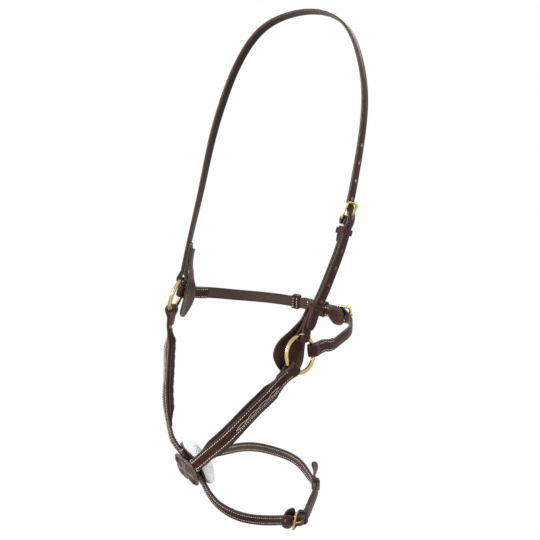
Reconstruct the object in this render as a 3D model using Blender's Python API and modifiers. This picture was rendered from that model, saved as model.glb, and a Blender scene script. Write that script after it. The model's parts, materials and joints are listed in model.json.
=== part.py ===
# Crossed leather noseband, hung in the shape that it has on a horse's head.
# +Z is up, the nose faces -Y and the horse's left, or near, side is +X.
# The origin is on the inner face of the head strap, where it rests on the poll.
# Lengths below are in millimetres and angles in degrees.

import math

import bmesh
import bpy
import numpy as np
from mathutils import Vector

MM = 0.001

# Clearances
GAP = 0.3
RING_PLAY = 1.1
BAR_PLAY = 0.35
KEEPER_PLAY = 0.5
HOLE_PLAY = 0.7

# Rings
RING_INSIDE = 38.0
RING_WIRE = 5.0
RING_SPAN = 190.0
RING_STAGGER = 16.0
RING_DROP = 31.0
NEAR_RING_AXIS = (0.97, -0.10, 0.21)
OFF_RING_AXIS = (-0.87, -0.40, 0.28)

# Where each strap's loop sits on its ring, from the top towards the nose
CHEEK_LOOP_ANGLE = -23.0
NEAR_NOSE_LOOP_ANGLE = 130.0
NEAR_JAW_LOOP_ANGLE = -92.0
HEAD_LOOP_ANGLE = -20.0
OFF_NOSE_LOOP_ANGLE = 164.0
OFF_JAW_LOOP_ANGLE = -98.0

# Head strap and cheek strap
HEAD_HEIGHT = 386.5
HEAD_HALF_WIDTH = 103.5
HEAD_LEAN = 24.0
HEAD_WIDTH = 13.0
HEAD_THICKNESS = 3.4
CHEEK_THICKNESS = 2.8
CHEEK_BAR_HEIGHT = 144.0
HEAD_TAIL_HEIGHT = 9.0
HEAD_TAIL_LIFT = 1.5
HEAD_TAIL_BEND = 30.0
HEAD_LEAD = 28.0
HEAD_TURN_BACK = 48.0
CHEEK_TURN_BACK = 28.0
CHEEK_BUCKLE_TURN_BACK = 27.0
CHEEK_KEEPER = 14.0
CHEEK_RUNNER_HEIGHT = 37.0
POLL_FLAT = 16.0

# Jaw strap
JAW_DEPTH = 138.0
JAW_WIDTH = 14.5
JAW_THICKNESS = 2.8
JAW_BAR_FROM_NEAR_RING = 136.0
JAW_TAIL = 62.0
JAW_TURN_BACK = 40.0
JAW_BUCKLE_TURN_BACK = 48.0
JAW_LEAD = 22.0
JAW_FRONT_KEEPER = 64.5
JAW_REAR_KEEPER = 22.0
JAW_SAFE_LENGTH = 34.0
JAW_SAFE_WIDTH = 25.0

# Nose straps and chin strap
CROSS_FORWARD = 82.5
CROSS_DROP = 161.5
CROSS_NORMAL = (-0.139, -0.933, -0.329)
NEAR_STRAP_HEADING = (-0.748, 0.394, -0.533)
OFF_STRAP_HEADING = (0.616, 0.175, -0.763)
CROSS_FLAT = 24.0
CROSS_FADE = 14.0
CHIN_DEPTH = 146.0
CHIN_DROP = 121.0
CHIN_HALF_WIDTH = 62.0
NOSE_WIDTH = 16.0
CHIN_WIDTH = 13.0
NOSE_THICKNESS = 3.0
NOSE_TURN_BACK = 20.0
NOSE_LEAD = 20.0
CHIN_BAR_FROM_CROSSING = 210.0
CHIN_TAIL = 127.0
CHIN_TAIL_LIFT = 19.0
CHIN_TAIL_BEND = 26.0
CHIN_BUCKLE_TURN_BACK = 24.0
CHIN_KEEPER = 14.0
CHIN_RUNNER = 90.0
CHIN_SAFE_LENGTH = 39.0
CHIN_SAFE_WIDTH = 28.0

# Padding behind the nose straps
LINING_WIDTH = 22.5
LINING_THICKNESS = 1.2
LINING_CROWN = 6.5
FILLER_WIDTH = 14.0
LINING_CLEAR_OF_CROSSING = 40.0
LINING_CLEAR_OF_LOOP = 3.0
OFF_LINING_SHORTER = 16.0
LINING_TAPER = 26.0
LINING_RING_TAPER = 14.0

# Crossing
ROSETTE_RADIUS = 20.5
ROSETTE_THICKNESS = 5.0
BACKING_LONG = 27.0
BACKING_SHORT = 20.0
BACKING_THICKNESS = 2.2
RIVET_OUT = 17.5
RIVET_HEAD = 5.0
RIVET_SHANK = 2.2
FLEECE_RADIUS = 31.0
FLEECE_THICKNESS = 15.0

# Ring safes
NEAR_SAFE_LENGTH = 44.0
OFF_SAFE_LENGTH = 61.0
NEAR_SAFE_HALF_WIDTH = 24.0
OFF_SAFE_HALF_WIDTH = 18.0
SAFE_THICKNESS = 2.4
SAFE_TAB = 40.0
SAFE_DISH = 2.5
SAFE_STANDOFF = 10.5
NEAR_SAFE_TILT = 14.0
OFF_SAFE_TILT = -24.0
NEAR_SAFE_TURN = 0.0
OFF_SAFE_TURN = -4.0

# Buckles, keepers and billets
BUCKLE_WIRE = 3.2
BUCKLE_LENGTH = 20.0
BUCKLE_RISE = 5.0
BUCKLE_CORNER = 3.0
BUCKLE_SIDE_PLAY = 1.4
BILLET_APPROACH = 14.0
BILLET_SETTLE = 11.0
TONGUE_WIRE = 2.4
TONGUE_HUMP = 3.2
TONGUE_OVERHANG = 2.5
KEEPER_LENGTH = 8.0
KEEPER_THICKNESS = 1.6
RUNNER_LENGTH = 7.0
HOLE_PITCH = 21.0
SHORT_HOLE_PITCH = 15.0
HOLE_DIAMETER = 4.6
DRAWN_HOLE = 9.5
POINT_LENGTH = 11.0
EDGE_BEVEL = 0.35

# Spacing of the sections along a strap
LONGEST_STEP = 22.0
CHORD_ERROR = 0.1


def vec(x, y, z):
    return np.array((x, y, z), float)


def unit(v):
    return np.asarray(v, float) / np.linalg.norm(v)


def ease(x):
    x = min(max(x, 0.0), 1.0)
    return x * x * (3 - 2 * x)


RING_RADIUS = (RING_INSIDE + RING_WIRE) / 2
NEAR_RING = vec(RING_SPAN, RING_STAGGER, -RING_DROP) / 2
OFF_RING = -NEAR_RING
CROSSING = vec(0, -CROSS_FORWARD, -CROSS_DROP)

COLOURS = {
    "leather": ((0.075, 0.034, 0.024, 1), 0.45, 0.0),
    "lining": ((0.10, 0.075, 0.065, 1), 0.7, 0.0),
    "padding": ((0.45, 0.42, 0.38, 1), 0.95, 0.0),
    "brass": ((0.72, 0.52, 0.22, 1), 0.25, 1.0),
    "dark_brass": ((0.12, 0.09, 0.05, 1), 0.4, 1.0),
    "fleece": ((0.86, 0.85, 0.80, 1), 0.95, 0.0),
}


# Scene and materials


def clear_scene():
    for obj in list(bpy.data.objects):
        bpy.data.objects.remove(obj, do_unlink=True)


def collection(name):
    group = bpy.data.collections.new(name)
    bpy.context.scene.collection.children.link(group)
    return group


def finish_object(obj, kind):
    colour, roughness, metallic = COLOURS[kind]
    material = bpy.data.materials.new(obj.name)
    material.use_nodes = True
    shader = material.node_tree.nodes["Principled BSDF"]
    shader.inputs["Base Color"].default_value = colour
    shader.inputs["Roughness"].default_value = roughness
    shader.inputs["Metallic"].default_value = metallic
    obj.data.materials.append(material)
    NOSEBAND.objects.link(obj)
    return obj


def to_metres(point):
    return Vector(tuple((np.asarray(point) - POLL) * MM))


# Routes: a smooth line in space with an outward normal all along it


def spline(knots, values, at):
    count = len(knots)
    step = np.diff(knots)
    slopes = np.diff(values, axis=0) / step[:, None]
    system = np.eye(count)
    bend = np.zeros_like(values)
    for i in range(1, count - 1):
        system[i, i - 1 : i + 2] = step[i - 1], 2 * (step[i - 1] + step[i]), step[i]
        bend[i] = 6 * (slopes[i] - slopes[i - 1])
    bend = np.linalg.solve(system, bend)
    i = np.clip(np.searchsorted(knots, at) - 1, 0, count - 2)
    h = step[i][:, None]
    ahead = (knots[i + 1] - at)[:, None]
    behind = (at - knots[i])[:, None]
    curved = (bend[i] * ahead**3 + bend[i + 1] * behind**3) / (6 * h)
    level = (values[i] / h - bend[i] * h / 6) * ahead
    return curved + level + (values[i + 1] / h - bend[i + 1] * h / 6) * behind


class Route:
    def __init__(self, stops):
        self.straights = []
        points = np.array([stop[0] for stop in stops], float)
        normals = np.array([unit(stop[1]) for stop in stops])
        knots = np.concatenate([[0], np.cumsum(np.linalg.norm(np.diff(points, axis=0), axis=1))])
        at = np.linspace(0, knots[-1], int(knots[-1]) + 1)
        self.points = spline(knots, points, at)
        self.tangents = np.gradient(self.points, axis=0)
        self.tangents /= np.linalg.norm(self.tangents, axis=1)[:, None]
        turned = np.stack([np.interp(at, knots, normals[:, k]) for k in range(3)], axis=1)
        turned -= (turned * self.tangents).sum(axis=1)[:, None] * self.tangents
        self.normals = turned / np.linalg.norm(turned, axis=1)[:, None]
        gaps = np.linalg.norm(np.diff(self.points, axis=0), axis=1)
        self.along = np.concatenate([[0], np.cumsum(gaps)])
        self.length = self.along[-1]

    def frame(self, at):
        # Smooth, but exactly straight in the stretches that lie on something flat
        point, tangent, normal, _ = self.smooth_frame(at)
        for centre, half, fade, (middle, along, out) in self.straights:
            share = ease((half + fade - abs(at - centre)) / max(fade, 0.001))
            if share > 0:
                point = point + share * (middle + (at - centre) * along - point)
                tangent = unit(tangent + share * (along - tangent))
                normal = normal + share * (out - normal)
                normal = unit(normal - normal.dot(tangent) * tangent)
        return point, tangent, normal, np.cross(tangent, normal)

    def smooth_frame(self, at):
        inside = min(max(at, 0.0), self.length)
        read = lambda table: np.array([np.interp(inside, self.along, table[:, k]) for k in range(3)])
        tangent = unit(read(self.tangents))
        normal = read(self.normals)
        normal = unit(normal - normal.dot(tangent) * tangent)
        point = read(self.points) + (at - inside) * tangent
        return point, tangent, normal, np.cross(tangent, normal)

    def place(self, at, out=0.0, across=0.0):
        point, _, normal, side = self.frame(at)
        return point + out * normal + across * side


class Ring:
    def __init__(self, centre, axis):
        self.centre = centre
        self.axis = unit(axis)
        self.up = unit(vec(0, 0, 1) - self.axis[2] * self.axis)
        self.forward = unit(np.cross(self.axis, self.up))
        if self.forward[1] > 0:
            self.forward = -self.forward

    def wire(self, angle):
        turn = math.radians(angle)
        return self.centre + RING_RADIUS * (math.cos(turn) * self.up + math.sin(turn) * self.forward)

    def leave(self, angle, towards, straight):
        # The first stops of a strap that loops round the wire and heads for a point
        start = self.wire(angle)
        tangent = unit(np.cross(self.axis, start - self.centre))
        heading = towards - start
        heading = unit(heading - heading.dot(tangent) * tangent)
        outward = np.cross(heading, tangent)
        if outward.dot(self.axis) < 0:
            outward = -outward
        return [(start + step * heading, outward) for step in (0.0, straight / 2, straight)]


# Paths: (distance along a route, height over it) pairs that a strap's middle follows


def run(knots, step=1.5):
    path = []
    for (s0, b0), (s1, b1) in zip(knots, knots[1:]):
        count = max(2, int(abs(s1 - s0) / step))
        for i in range(count):
            share = i / count
            path.append((s0 + (s1 - s0) * share, b0 + (b1 - b0) * ease(share)))
    return path + [knots[-1]]


def loop(at, facing, radius, half, pinch, turn_back):
    # From the free end of the turn-back, round the wire or bar, to the outer layer
    inner = run([(at + facing * turn_back, -half), (at + facing * pinch, -half), (at, -radius)])
    arc = []
    for degrees in range(-80, 90, 10):
        turn = math.radians(degrees)
        arc.append((at - facing * radius * math.cos(turn), radius * math.sin(turn)))
    return inner + arc + run([(at, radius), (at + facing * pinch, half)])


def joined(*parts):
    # One path from several, without the spots that two of them share
    path = []
    for spot in sum(parts, []):
        if not path or math.dist(path[-1], spot) > 0.01:
            path.append(spot)
    return path


def path_length(route, path):
    spots = np.array([route.place(s, b) for s, b in path])
    return np.concatenate([[0], np.cumsum(np.linalg.norm(np.diff(spots, axis=0), axis=1))])


# Sheet leather: an open strip, made solid and softened at its edges


def stations(middles, sides, widths, flat):
    # Keeps a section wherever a longer step would cut a corner, and none within a flat run
    middles, sides, widths = np.array(middles), np.array(sides), np.array(widths)
    left = middles - sides * widths[:, None] / 2
    right = middles + sides * widths[:, None] / 2
    kept = [0]
    for i in range(2, len(middles)):
        k = kept[-1]
        between = slice(k + 1, i)
        if flat[i - 1] and flat[i]:
            if not flat[i - 2]:
                kept.append(i - 1)
            continue
        stray = max(off_chord(edge[between], edge[k], edge[i]) for edge in (left, right)) if i > k + 1 else 0.0
        too_far = np.linalg.norm(middles[i] - middles[k]) > LONGEST_STEP
        if stray > CHORD_ERROR or too_far or flat[i - 1] and not flat[i]:
            kept.append(i - 1)
    return kept + [len(middles) - 1]


def off_chord(spots, start, stop):
    # How far the spots between two ends lie from the straight line that joins them
    ahead = unit(stop - start)
    lean = spots - start
    return np.linalg.norm(lean - (lean @ ahead)[:, None] * ahead, axis=1).max()


def strip(name, route, path, width, thickness, kind, columns=(-1, 1), crown=None, offset=0.0):
    reached = path_length(route, path)
    frames = [route.frame(s) for s, _ in path]
    middles = [point + b * normal for (point, _, normal, _), (_, b) in zip(frames, path)]
    sides = [side for _, _, _, side in frames]
    widths = [width(d, reached[-1]) if callable(width) else width for d in reached]
    mesh = bmesh.new()
    rows = []
    flat = [any(abs(s - at) <= half for at, half, _, _ in route.straights) for s, _ in path]
    for i in stations(middles, sides, widths, flat):
        row = []
        for v in columns:
            sink = crown(reached[i], reached[-1], v) if crown else 0.0
            spot = middles[i] + sides[i] * v * widths[i] / 2 - sink * frames[i][2]
            row.append(mesh.verts.new(to_metres(spot)))
        rows.append(row)
    for row, next_row in zip(rows, rows[1:]):
        for k in range(len(columns) - 1):
            mesh.faces.new((row[k], row[k + 1], next_row[k + 1], next_row[k]))
    obj = mesh_object(name, mesh, kind)
    thicken(obj, thickness, offset)
    return obj


def mesh_object(name, mesh, kind):
    data = bpy.data.meshes.new(name)
    mesh.to_mesh(data)
    mesh.free()
    return finish_object(bpy.data.objects.new(name, data), kind)


def thicken(obj, thickness, offset=0.0):
    solid = obj.modifiers.new("thickness", "SOLIDIFY")
    solid.thickness = thickness * MM
    solid.offset = offset
    solid.use_even_offset = True
    soften(obj)


def soften(obj, width=EDGE_BEVEL):
    bevel = obj.modifiers.new("soft edges", "BEVEL")
    bevel.width = width * MM
    bevel.segments = 1
    bevel.limit_method = "ANGLE"
    bevel.angle_limit = math.radians(50)


def cut(obj, mesh, label):
    data = bpy.data.meshes.new(obj.name + " " + label)
    mesh.to_mesh(data)
    mesh.free()
    cutter = bpy.data.objects.new(obj.name + " " + label, data)
    cutter.hide_render = True
    cutter.display_type = "WIRE"
    CUTTERS.objects.link(cutter)
    boolean = obj.modifiers.new(label, "BOOLEAN")
    boolean.operation = "DIFFERENCE"
    boolean.solver = "EXACT"
    boolean.object = cutter


def pegs(spots, diameter, length=14.0, sides=10):
    # Round cutters, one for each centre and axis
    mesh = bmesh.new()
    for centre, axis in spots:
        made = bmesh.ops.create_cone(
            mesh,
            cap_ends=True,
            segments=sides,
            radius1=diameter * MM / 2,
            radius2=diameter * MM / 2,
            depth=length * MM,
        )
        turn = Vector((0, 0, 1)).rotation_difference(Vector(tuple(axis))).to_matrix()
        for vert in made["verts"]:
            vert.co = turn @ vert.co + to_metres(centre)
    return mesh


def box(centre, ahead, out, sizes):
    axes = (ahead, out, np.cross(ahead, out))
    mesh = bmesh.new()
    for vert in bmesh.ops.create_cube(mesh, size=1.0)["verts"]:
        spot = sum(axis * size * share for axis, size, share in zip(axes, sizes, vert.co))
        vert.co = to_metres(centre + spot)
    return mesh


def wire(name, spots, diameter, kind, closed=False, fineness=1):
    curve = bpy.data.curves.new(name, "CURVE")
    curve.dimensions = "3D"
    curve.bevel_depth = diameter * MM / 2
    curve.bevel_resolution = fineness
    curve.use_fill_caps = not closed
    line = curve.splines.new("POLY")
    line.points.add(len(spots) - 1)
    for point, spot in zip(line.points, spots):
        point.co = (*to_metres(spot), 1)
    line.use_cyclic_u = closed
    return finish_object(bpy.data.objects.new(name, curve), kind)


def outline_plate(name, spots, centre, axes, thickness, kind):
    # A flat piece cut to an outline, from a filled 2D curve, stood on its own axes
    curve = bpy.data.curves.new(name, "CURVE")
    curve.dimensions = "2D"
    curve.fill_mode = "BOTH"
    curve.extrude = thickness * MM / 2
    line = curve.splines.new("POLY")
    line.points.add(len(spots) - 1)
    for point, (x, y) in zip(line.points, spots):
        point.co = (x * MM, y * MM, 0, 1)
    line.use_cyclic_u = True
    guide = bpy.data.objects.new(name, curve)
    CUTTERS.objects.link(guide)
    bpy.context.view_layer.update()
    evaluated = guide.evaluated_get(bpy.context.evaluated_depsgraph_get())
    data = bpy.data.meshes.new_from_object(evaluated)
    bpy.data.objects.remove(guide)
    mesh = bmesh.new()
    mesh.from_mesh(data)
    bmesh.ops.remove_doubles(mesh, verts=mesh.verts, dist=0.00001)
    for vert in mesh.verts:
        x, y, z = (share / MM for share in vert.co)
        vert.co = to_metres(centre + axes[0] * x + axes[1] * y + axes[2] * z)
    data.materials.clear()
    mesh.to_mesh(data)
    mesh.free()
    obj = finish_object(bpy.data.objects.new(name, data), kind)
    soften(obj)
    return obj


# Levels of the layers over a route


def half_of(thickness):
    # Height of either layer where a strap lies doubled on itself
    return (thickness + GAP) / 2


def over(thickness, top_thickness):
    # Height of a strap that lies on a doubled one
    return half_of(thickness) + thickness / 2 + GAP + top_thickness / 2


def bar_radius(thickness):
    return BUCKLE_WIRE / 2 + BAR_PLAY + thickness / 2


def ring_loop(at, facing, width, thickness, turn_back):
    # The wire curves away under a wide strap, so the fold sits that much further in
    sag = RING_RADIUS - math.sqrt(RING_RADIUS**2 - (width / 2) ** 2)
    radius = RING_WIRE / 2 + RING_PLAY + thickness / 2
    return loop(at - facing * sag, facing, radius, half_of(thickness), 2.2 * radius, turn_back)


def bar_loop(at, facing, thickness, turn_back):
    radius = bar_radius(thickness)
    return loop(at, facing, radius, half_of(thickness), 2.6 * radius, turn_back)


def pointed(width):
    # A strap that ends in a rounded point
    def shape(reached, total):
        left = min(total - reached, POINT_LENGTH) / POINT_LENGTH
        return width * (0.22 + 0.78 * math.sqrt(1 - (1 - left) ** 2))

    return shape


# Buckles


class Buckle:
    # A frame whose bar is held in a fold, facing the strap that comes in over its free side
    def __init__(self, prefix, route, at, facing, width, fold_thickness, billet_thickness):
        self.prefix = prefix
        self.route = route
        self.at = at
        self.facing = facing
        self.width = width
        self.lean = math.asin(BUCKLE_RISE / BUCKLE_LENGTH)
        self.under = BUCKLE_WIRE / 2 + BAR_PLAY + billet_thickness / 2
        self.over = bar_radius(fold_thickness) + fold_thickness / 2 + 2 * GAP + billet_thickness / 2
        self.bar, tangent, normal, self.side = route.frame(at)
        tangent = tangent * facing
        self.ahead = math.cos(self.lean) * tangent + math.sin(self.lean) * normal
        self.out = math.cos(self.lean) * normal - math.sin(self.lean) * tangent

    def local(self, ahead, out, across=0.0):
        return self.bar + ahead * self.ahead + out * self.out + across * self.side

    def level(self, ahead, out):
        # The same spot as a (distance, height) pair of the route
        along = ahead * math.cos(self.lean) - out * math.sin(self.lean)
        return self.at + self.facing * along, ahead * math.sin(self.lean) + out * math.cos(self.lean)

    def billet_knots(self):
        # In under the free side, then out over the bar and its fold
        near_bar = self.at + self.facing * 2.0
        past_bar = self.at - self.facing * 2.0
        return [self.level(BUCKLE_LENGTH, -self.under), (near_bar, self.over), (past_bar, self.over)]

    def frame(self):
        half = self.width / 2 + BUCKLE_SIDE_PLAY + BUCKLE_WIRE / 2
        wire(self.prefix + "_buckle_frame", self.around(half), BUCKLE_WIRE, "brass", closed=True)

    def around(self, half):
        spots = []
        middle = BUCKLE_LENGTH / 2
        reach = middle - BUCKLE_CORNER
        rise = half - BUCKLE_CORNER
        for quarter, (x, y) in enumerate([(reach, rise), (-reach, rise), (-reach, -rise), (reach, -rise)]):
            for step in range(0, 91, 30):
                turn = math.radians(90 * quarter + step)
                ahead = middle + x + BUCKLE_CORNER * math.cos(turn)
                spots.append(self.local(ahead, 0, y + BUCKLE_CORNER * math.sin(turn)))
        return spots

    def tongue_line(self):
        eye = BUCKLE_WIRE / 2 + BAR_PLAY + TONGUE_WIRE / 2
        rest = BUCKLE_WIRE / 2 + GAP + TONGUE_WIRE / 2
        line = []
        for degrees in range(-25, -271, -27):
            turn = math.radians(degrees)
            line.append((eye * math.cos(turn), eye * math.sin(turn)))
        line[-1] = (0.0, eye)
        for share, hump in ((0.175, 0.0), (0.3, 0.3), (0.45, 0.85), (0.6, 1.0)):
            line.append((share * BUCKLE_LENGTH, eye + hump * TONGUE_HUMP))
        line += [(0.8 * BUCKLE_LENGTH, rest + 0.5 * TONGUE_HUMP), (BUCKLE_LENGTH, rest)]
        return line + [(BUCKLE_LENGTH + TONGUE_OVERHANG, rest - 0.8)]

    def tongue(self):
        spots = [self.local(ahead, out) for ahead, out in self.tongue_line()]
        wire(self.prefix + "_buckle_tongue", spots, TONGUE_WIRE, "brass")

    def slot(self, obj):
        # Opening for the tongue through the fold
        reach = 2 * self.over
        sizes = (1.7 * reach, reach * 2, TONGUE_WIRE + 2 * HOLE_PLAY)
        spot = self.local(0.2 * reach, 0.0)
        cut(obj, box(spot, self.ahead, self.out, sizes), "tongue slot")

    def crossing(self, path):
        # Index of the path's sample where the tongue goes through the billet
        shaft = np.array([self.local(a, o) for a, o in self.tongue_line()[-8:]])
        fine = np.concatenate([np.linspace(p, q, 12) for p, q in zip(shaft, shaft[1:])])
        low, high = sorted((self.at, self.at + self.facing * BUCKLE_LENGTH))
        best = None
        for i, (s, b) in enumerate(path):
            if low + 3 < s < high - 3:
                far = np.linalg.norm(fine - self.route.place(s, b), axis=1).min()
                if best is None or far < best[0]:
                    best = (far, i)
        return best[1]


def punched(obj, route, path, first, steps, pitch):
    # Holes along a billet, counted from the one that the tongue goes through
    reached = path_length(route, path)
    spots = []
    here = route.place(*path[first])
    ahead = unit(route.place(*path[first + 1]) - route.place(*path[first - 1]))
    out = unit(np.cross(ahead, route.frame(path[first][0])[3]))
    sizes = (DRAWN_HOLE, 12.0, TONGUE_WIRE + 2 * HOLE_PLAY)
    cut(obj, box(here, ahead, out, sizes), "tongue hole")
    for step in steps:
        if step == 0:
            continue
        i = int(np.argmin(abs(reached - reached[first] - step * pitch)))
        here = route.place(*path[i])
        ahead = unit(route.place(*path[i + 1]) - here)
        axis = unit(np.cross(ahead, route.frame(path[i][0])[3]))
        spots.append((here, axis))
    cut(obj, pegs(spots, HOLE_DIAMETER), "punched holes")


def keeper(name, route, at, low, high, width, length=KEEPER_LENGTH):
    # A leather band round the layers between two heights
    point, tangent, normal, side = route.frame(at)
    grow = KEEPER_PLAY + KEEPER_THICKNESS / 2
    half = width / 2 + grow
    low -= grow
    high += grow
    corner = 1.4
    mesh = bmesh.new()
    rows = []
    middle = (low + high) / 2
    reach = (high - low) / 2 - corner
    for quarter, (x, y) in enumerate([(1, 1), (-1, 1), (-1, -1), (1, -1)]):
        for step in (0, 45, 90):
            turn = math.radians(90 * quarter + step)
            across = x * (half - corner) + corner * math.cos(turn)
            out = middle + y * reach + corner * math.sin(turn)
            spot = point + across * side + out * normal
            rows.append([mesh.verts.new(to_metres(spot + end * tangent * length / 2)) for end in (-1, 1)])
    for row, next_row in zip(rows, rows[1:] + rows[:1]):
        mesh.faces.new((row[0], row[1], next_row[1], next_row[0]))
    bmesh.ops.recalc_face_normals(mesh, faces=mesh.faces)
    obj = mesh_object(name, mesh, "leather")
    thicken(obj, KEEPER_THICKNESS)
    return obj


# Routes of the straps


def head_route():
    lean = math.radians(HEAD_LEAN)
    up = vec(0, math.sin(lean), math.cos(lean))
    side = (NEAR_RING - OFF_RING) / RING_SPAN
    arch = [
        (-0.955, 0.268),
        (-0.984, 0.380),
        (-1.022, 0.505),
        (-1.019, 0.644),
        (-0.933, 0.799),
        (-0.743, 0.905),
        (-0.429, 0.969),
        (-0.048, 1.000),
        (0.267, 0.988),
        (0.590, 0.905),
        (0.800, 0.791),
        (0.905, 0.665),
        (0.980, 0.497),
        (1.011, 0.354),
        (0.981, 0.254),
        (0.955, 0.195),
    ]
    spots = [a * HEAD_HALF_WIDTH * side + b * HEAD_HEIGHT * up for a, b in arch]
    first = OFF.leave(HEAD_LOOP_ANGLE, spots[0], HEAD_LEAD)
    last = NEAR.leave(CHEEK_LOOP_ANGLE, spots[-1], HEAD_LEAD)
    stops = []
    for spot, (across, rise) in zip(spots, arch):
        # Outward from the arch, easing into the way the strap faces on its ring
        outward = unit(across * side + max(0.0, rise - 0.75) * 4 * up)
        on_ring = (first if across < 0 else last)[0][1]
        stops.append((spot, on_ring + ease((rise - 0.1) / 0.55) * (outward - on_ring)))
    route = Route(first + stops + last[::-1])
    top = route.along[int(np.argmin(abs(route.points[:, 0])))]
    route.straights.append((top, POLL_FLAT / 2, 0.0, route.smooth_frame(top)[:3]))
    return route


def jaw_route():
    half = RING_SPAN / 2
    plan = [
        (-1.03, 0.30, 4.0),
        (-0.90, 0.61, -8.0),
        (-0.58, 0.85, -14.0),
        (-0.11, 0.97, -15.0),
        (0.37, 1.00, -15.5),
        (0.69, 0.965, -15.0),
        (0.905, 0.82, -18.0),
        (0.99, 0.61, -19.0),
        (1.02, 0.39, -18.5),
    ]
    stops = []
    for across, back, rise in plan:
        outward = vec(0.9 * across, 1.2 * back - 0.35, 0)
        stops.append((vec(across * half, back * JAW_DEPTH, rise), outward))
    first = OFF.leave(OFF_JAW_LOOP_ANGLE, stops[0][0], JAW_LEAD)
    last = NEAR.leave(NEAR_JAW_LOOP_ANGLE, stops[-1][0], JAW_LEAD)
    return Route(first + stops + last[::-1])


def nose_route():
    # Near ring, crossing, off side, back of the chin, near side, crossing, off ring
    # Across as a share of half the span, forward and down as shares of the crossing's
    near_side = [
        (0.911, 0.324, 0.303, (0.88, -0.46, 0.12)),
        (0.824, 0.585, 0.416, (0.86, -0.50, 0.02)),
        (0.711, 0.834, 0.545, (0.76, -0.64, -0.08)),
        (0.564, 0.953, 0.667, (0.50, -0.84, -0.20)),
        (0.364, 1.034, 0.802, (0.12, -0.94, -0.32)),
    ]
    off_side = [
        (-0.435, 0.928, 0.703, (-0.16, -0.94, -0.29)),
        (-0.611, 0.781, 0.579, (-0.04, -0.97, -0.22)),
        (-0.807, 0.541, 0.437, (-0.04, -0.97, -0.22)),
        (-0.951, 0.357, 0.294, (-0.16, -0.96, -0.15)),
    ]
    # Across as a share of the half width, back from the crossing and down from it
    chin = [
        (-0.500, 0.081, 0.179, (-0.5, -0.8, -0.3)),
        (-0.660, 0.234, 0.216, (-0.95, -0.3, -0.2)),
        (-0.890, 0.486, 0.375, (-1, 0, -0.1)),
        (-1.000, 0.748, 0.549, (-1, 0.2, 0)),
        (-0.810, 0.942, 0.735, (-0.7, 0.7, 0)),
        (-0.450, 1.019, 0.858, (-0.3, 0.95, 0)),
        (-0.030, 1.000, 0.962, (0.1, 1, 0)),
        (0.240, 0.952, 0.974, (0.5, 0.85, 0)),
        (0.490, 0.828, 1.010, (0.78, 0.6, 0.08)),
        (0.740, 0.680, 1.018, (0.95, 0.2, 0.06)),
        (0.870, 0.525, 0.898, (1, 0.0, 0)),
        (0.900, 0.331, 0.723, (0.97, -0.2, 0)),
        (0.757, 0.203, 0.612, (0.85, -0.5, -0.1)),
        (0.596, 0.121, 0.505, (0.55, -0.8, -0.2)),
        (0.429, 0.067, 0.384, (0.15, -0.9, -0.3)),
        (0.308, 0.034, 0.244, (-0.1, -0.93, -0.34)),
    ]
    loop_stops = []
    for across, back, down, outward in chin:
        spot = CROSSING + vec(
            across * CHIN_HALF_WIDTH, back * (CHIN_DEPTH + CROSS_FORWARD), -down * CHIN_DROP
        )
        loop_stops.append((spot, outward))
    near_side, off_side = (
        [(vec(a * RING_SPAN / 2, -f * CROSS_FORWARD, -d * CROSS_DROP), out) for a, f, d, out in stops]
        for stops in (near_side, off_side)
    )
    over = straight_over(CROSSING, NEAR_STRAP_HEADING)
    under = straight_over(CROSSING, OFF_STRAP_HEADING)
    first = NEAR.leave(NEAR_NOSE_LOOP_ANGLE, near_side[0][0], NOSE_LEAD)
    last = OFF.leave(OFF_NOSE_LOOP_ANGLE, off_side[-1][0], NOSE_LEAD)
    route = Route(first + near_side + over + loop_stops + under[::-1] + off_side + last[::-1])
    middle = len(route.points) // 2
    away = np.linalg.norm(route.points - CROSSING, axis=1)
    front = route.along[np.argmin(away[:middle])]
    back = route.along[middle + np.argmin(away[middle:])]
    for at, stops in ((front, over), (back, under[::-1])):
        ahead = unit(stops[-1][0] - stops[0][0])
        lie = (CROSSING, ahead, unit(CROSS_NORMAL))
        route.straights.append((at, CROSS_FLAT - 2, CROSS_FADE, lie))
    return route


def straight_over(middle, heading):
    # Stops that keep a strap flat on the crossing for its full width either way
    normal = unit(CROSS_NORMAL)
    ahead = unit(np.array(heading) - np.dot(heading, normal) * normal)
    return [(middle + step * ahead, CROSS_NORMAL) for step in (-CROSS_FLAT, 0.0, CROSS_FLAT)]


# The pieces


def rings():
    for name, ring in (("near_ring", NEAR), ("off_ring", OFF)):
        bpy.ops.mesh.primitive_torus_add(
            major_segments=36,
            minor_segments=10,
            major_radius=RING_RADIUS * MM,
            minor_radius=RING_WIRE * MM / 2,
        )
        obj = bpy.context.object
        obj.name = name
        for group in obj.users_collection:
            group.objects.unlink(obj)
        obj.location = to_metres(ring.centre)
        obj.rotation_euler = Vector(tuple(ring.axis)).to_track_quat("Z", "Y").to_euler()
        obj.data.shade_smooth()
        finish_object(obj, "brass")


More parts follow.
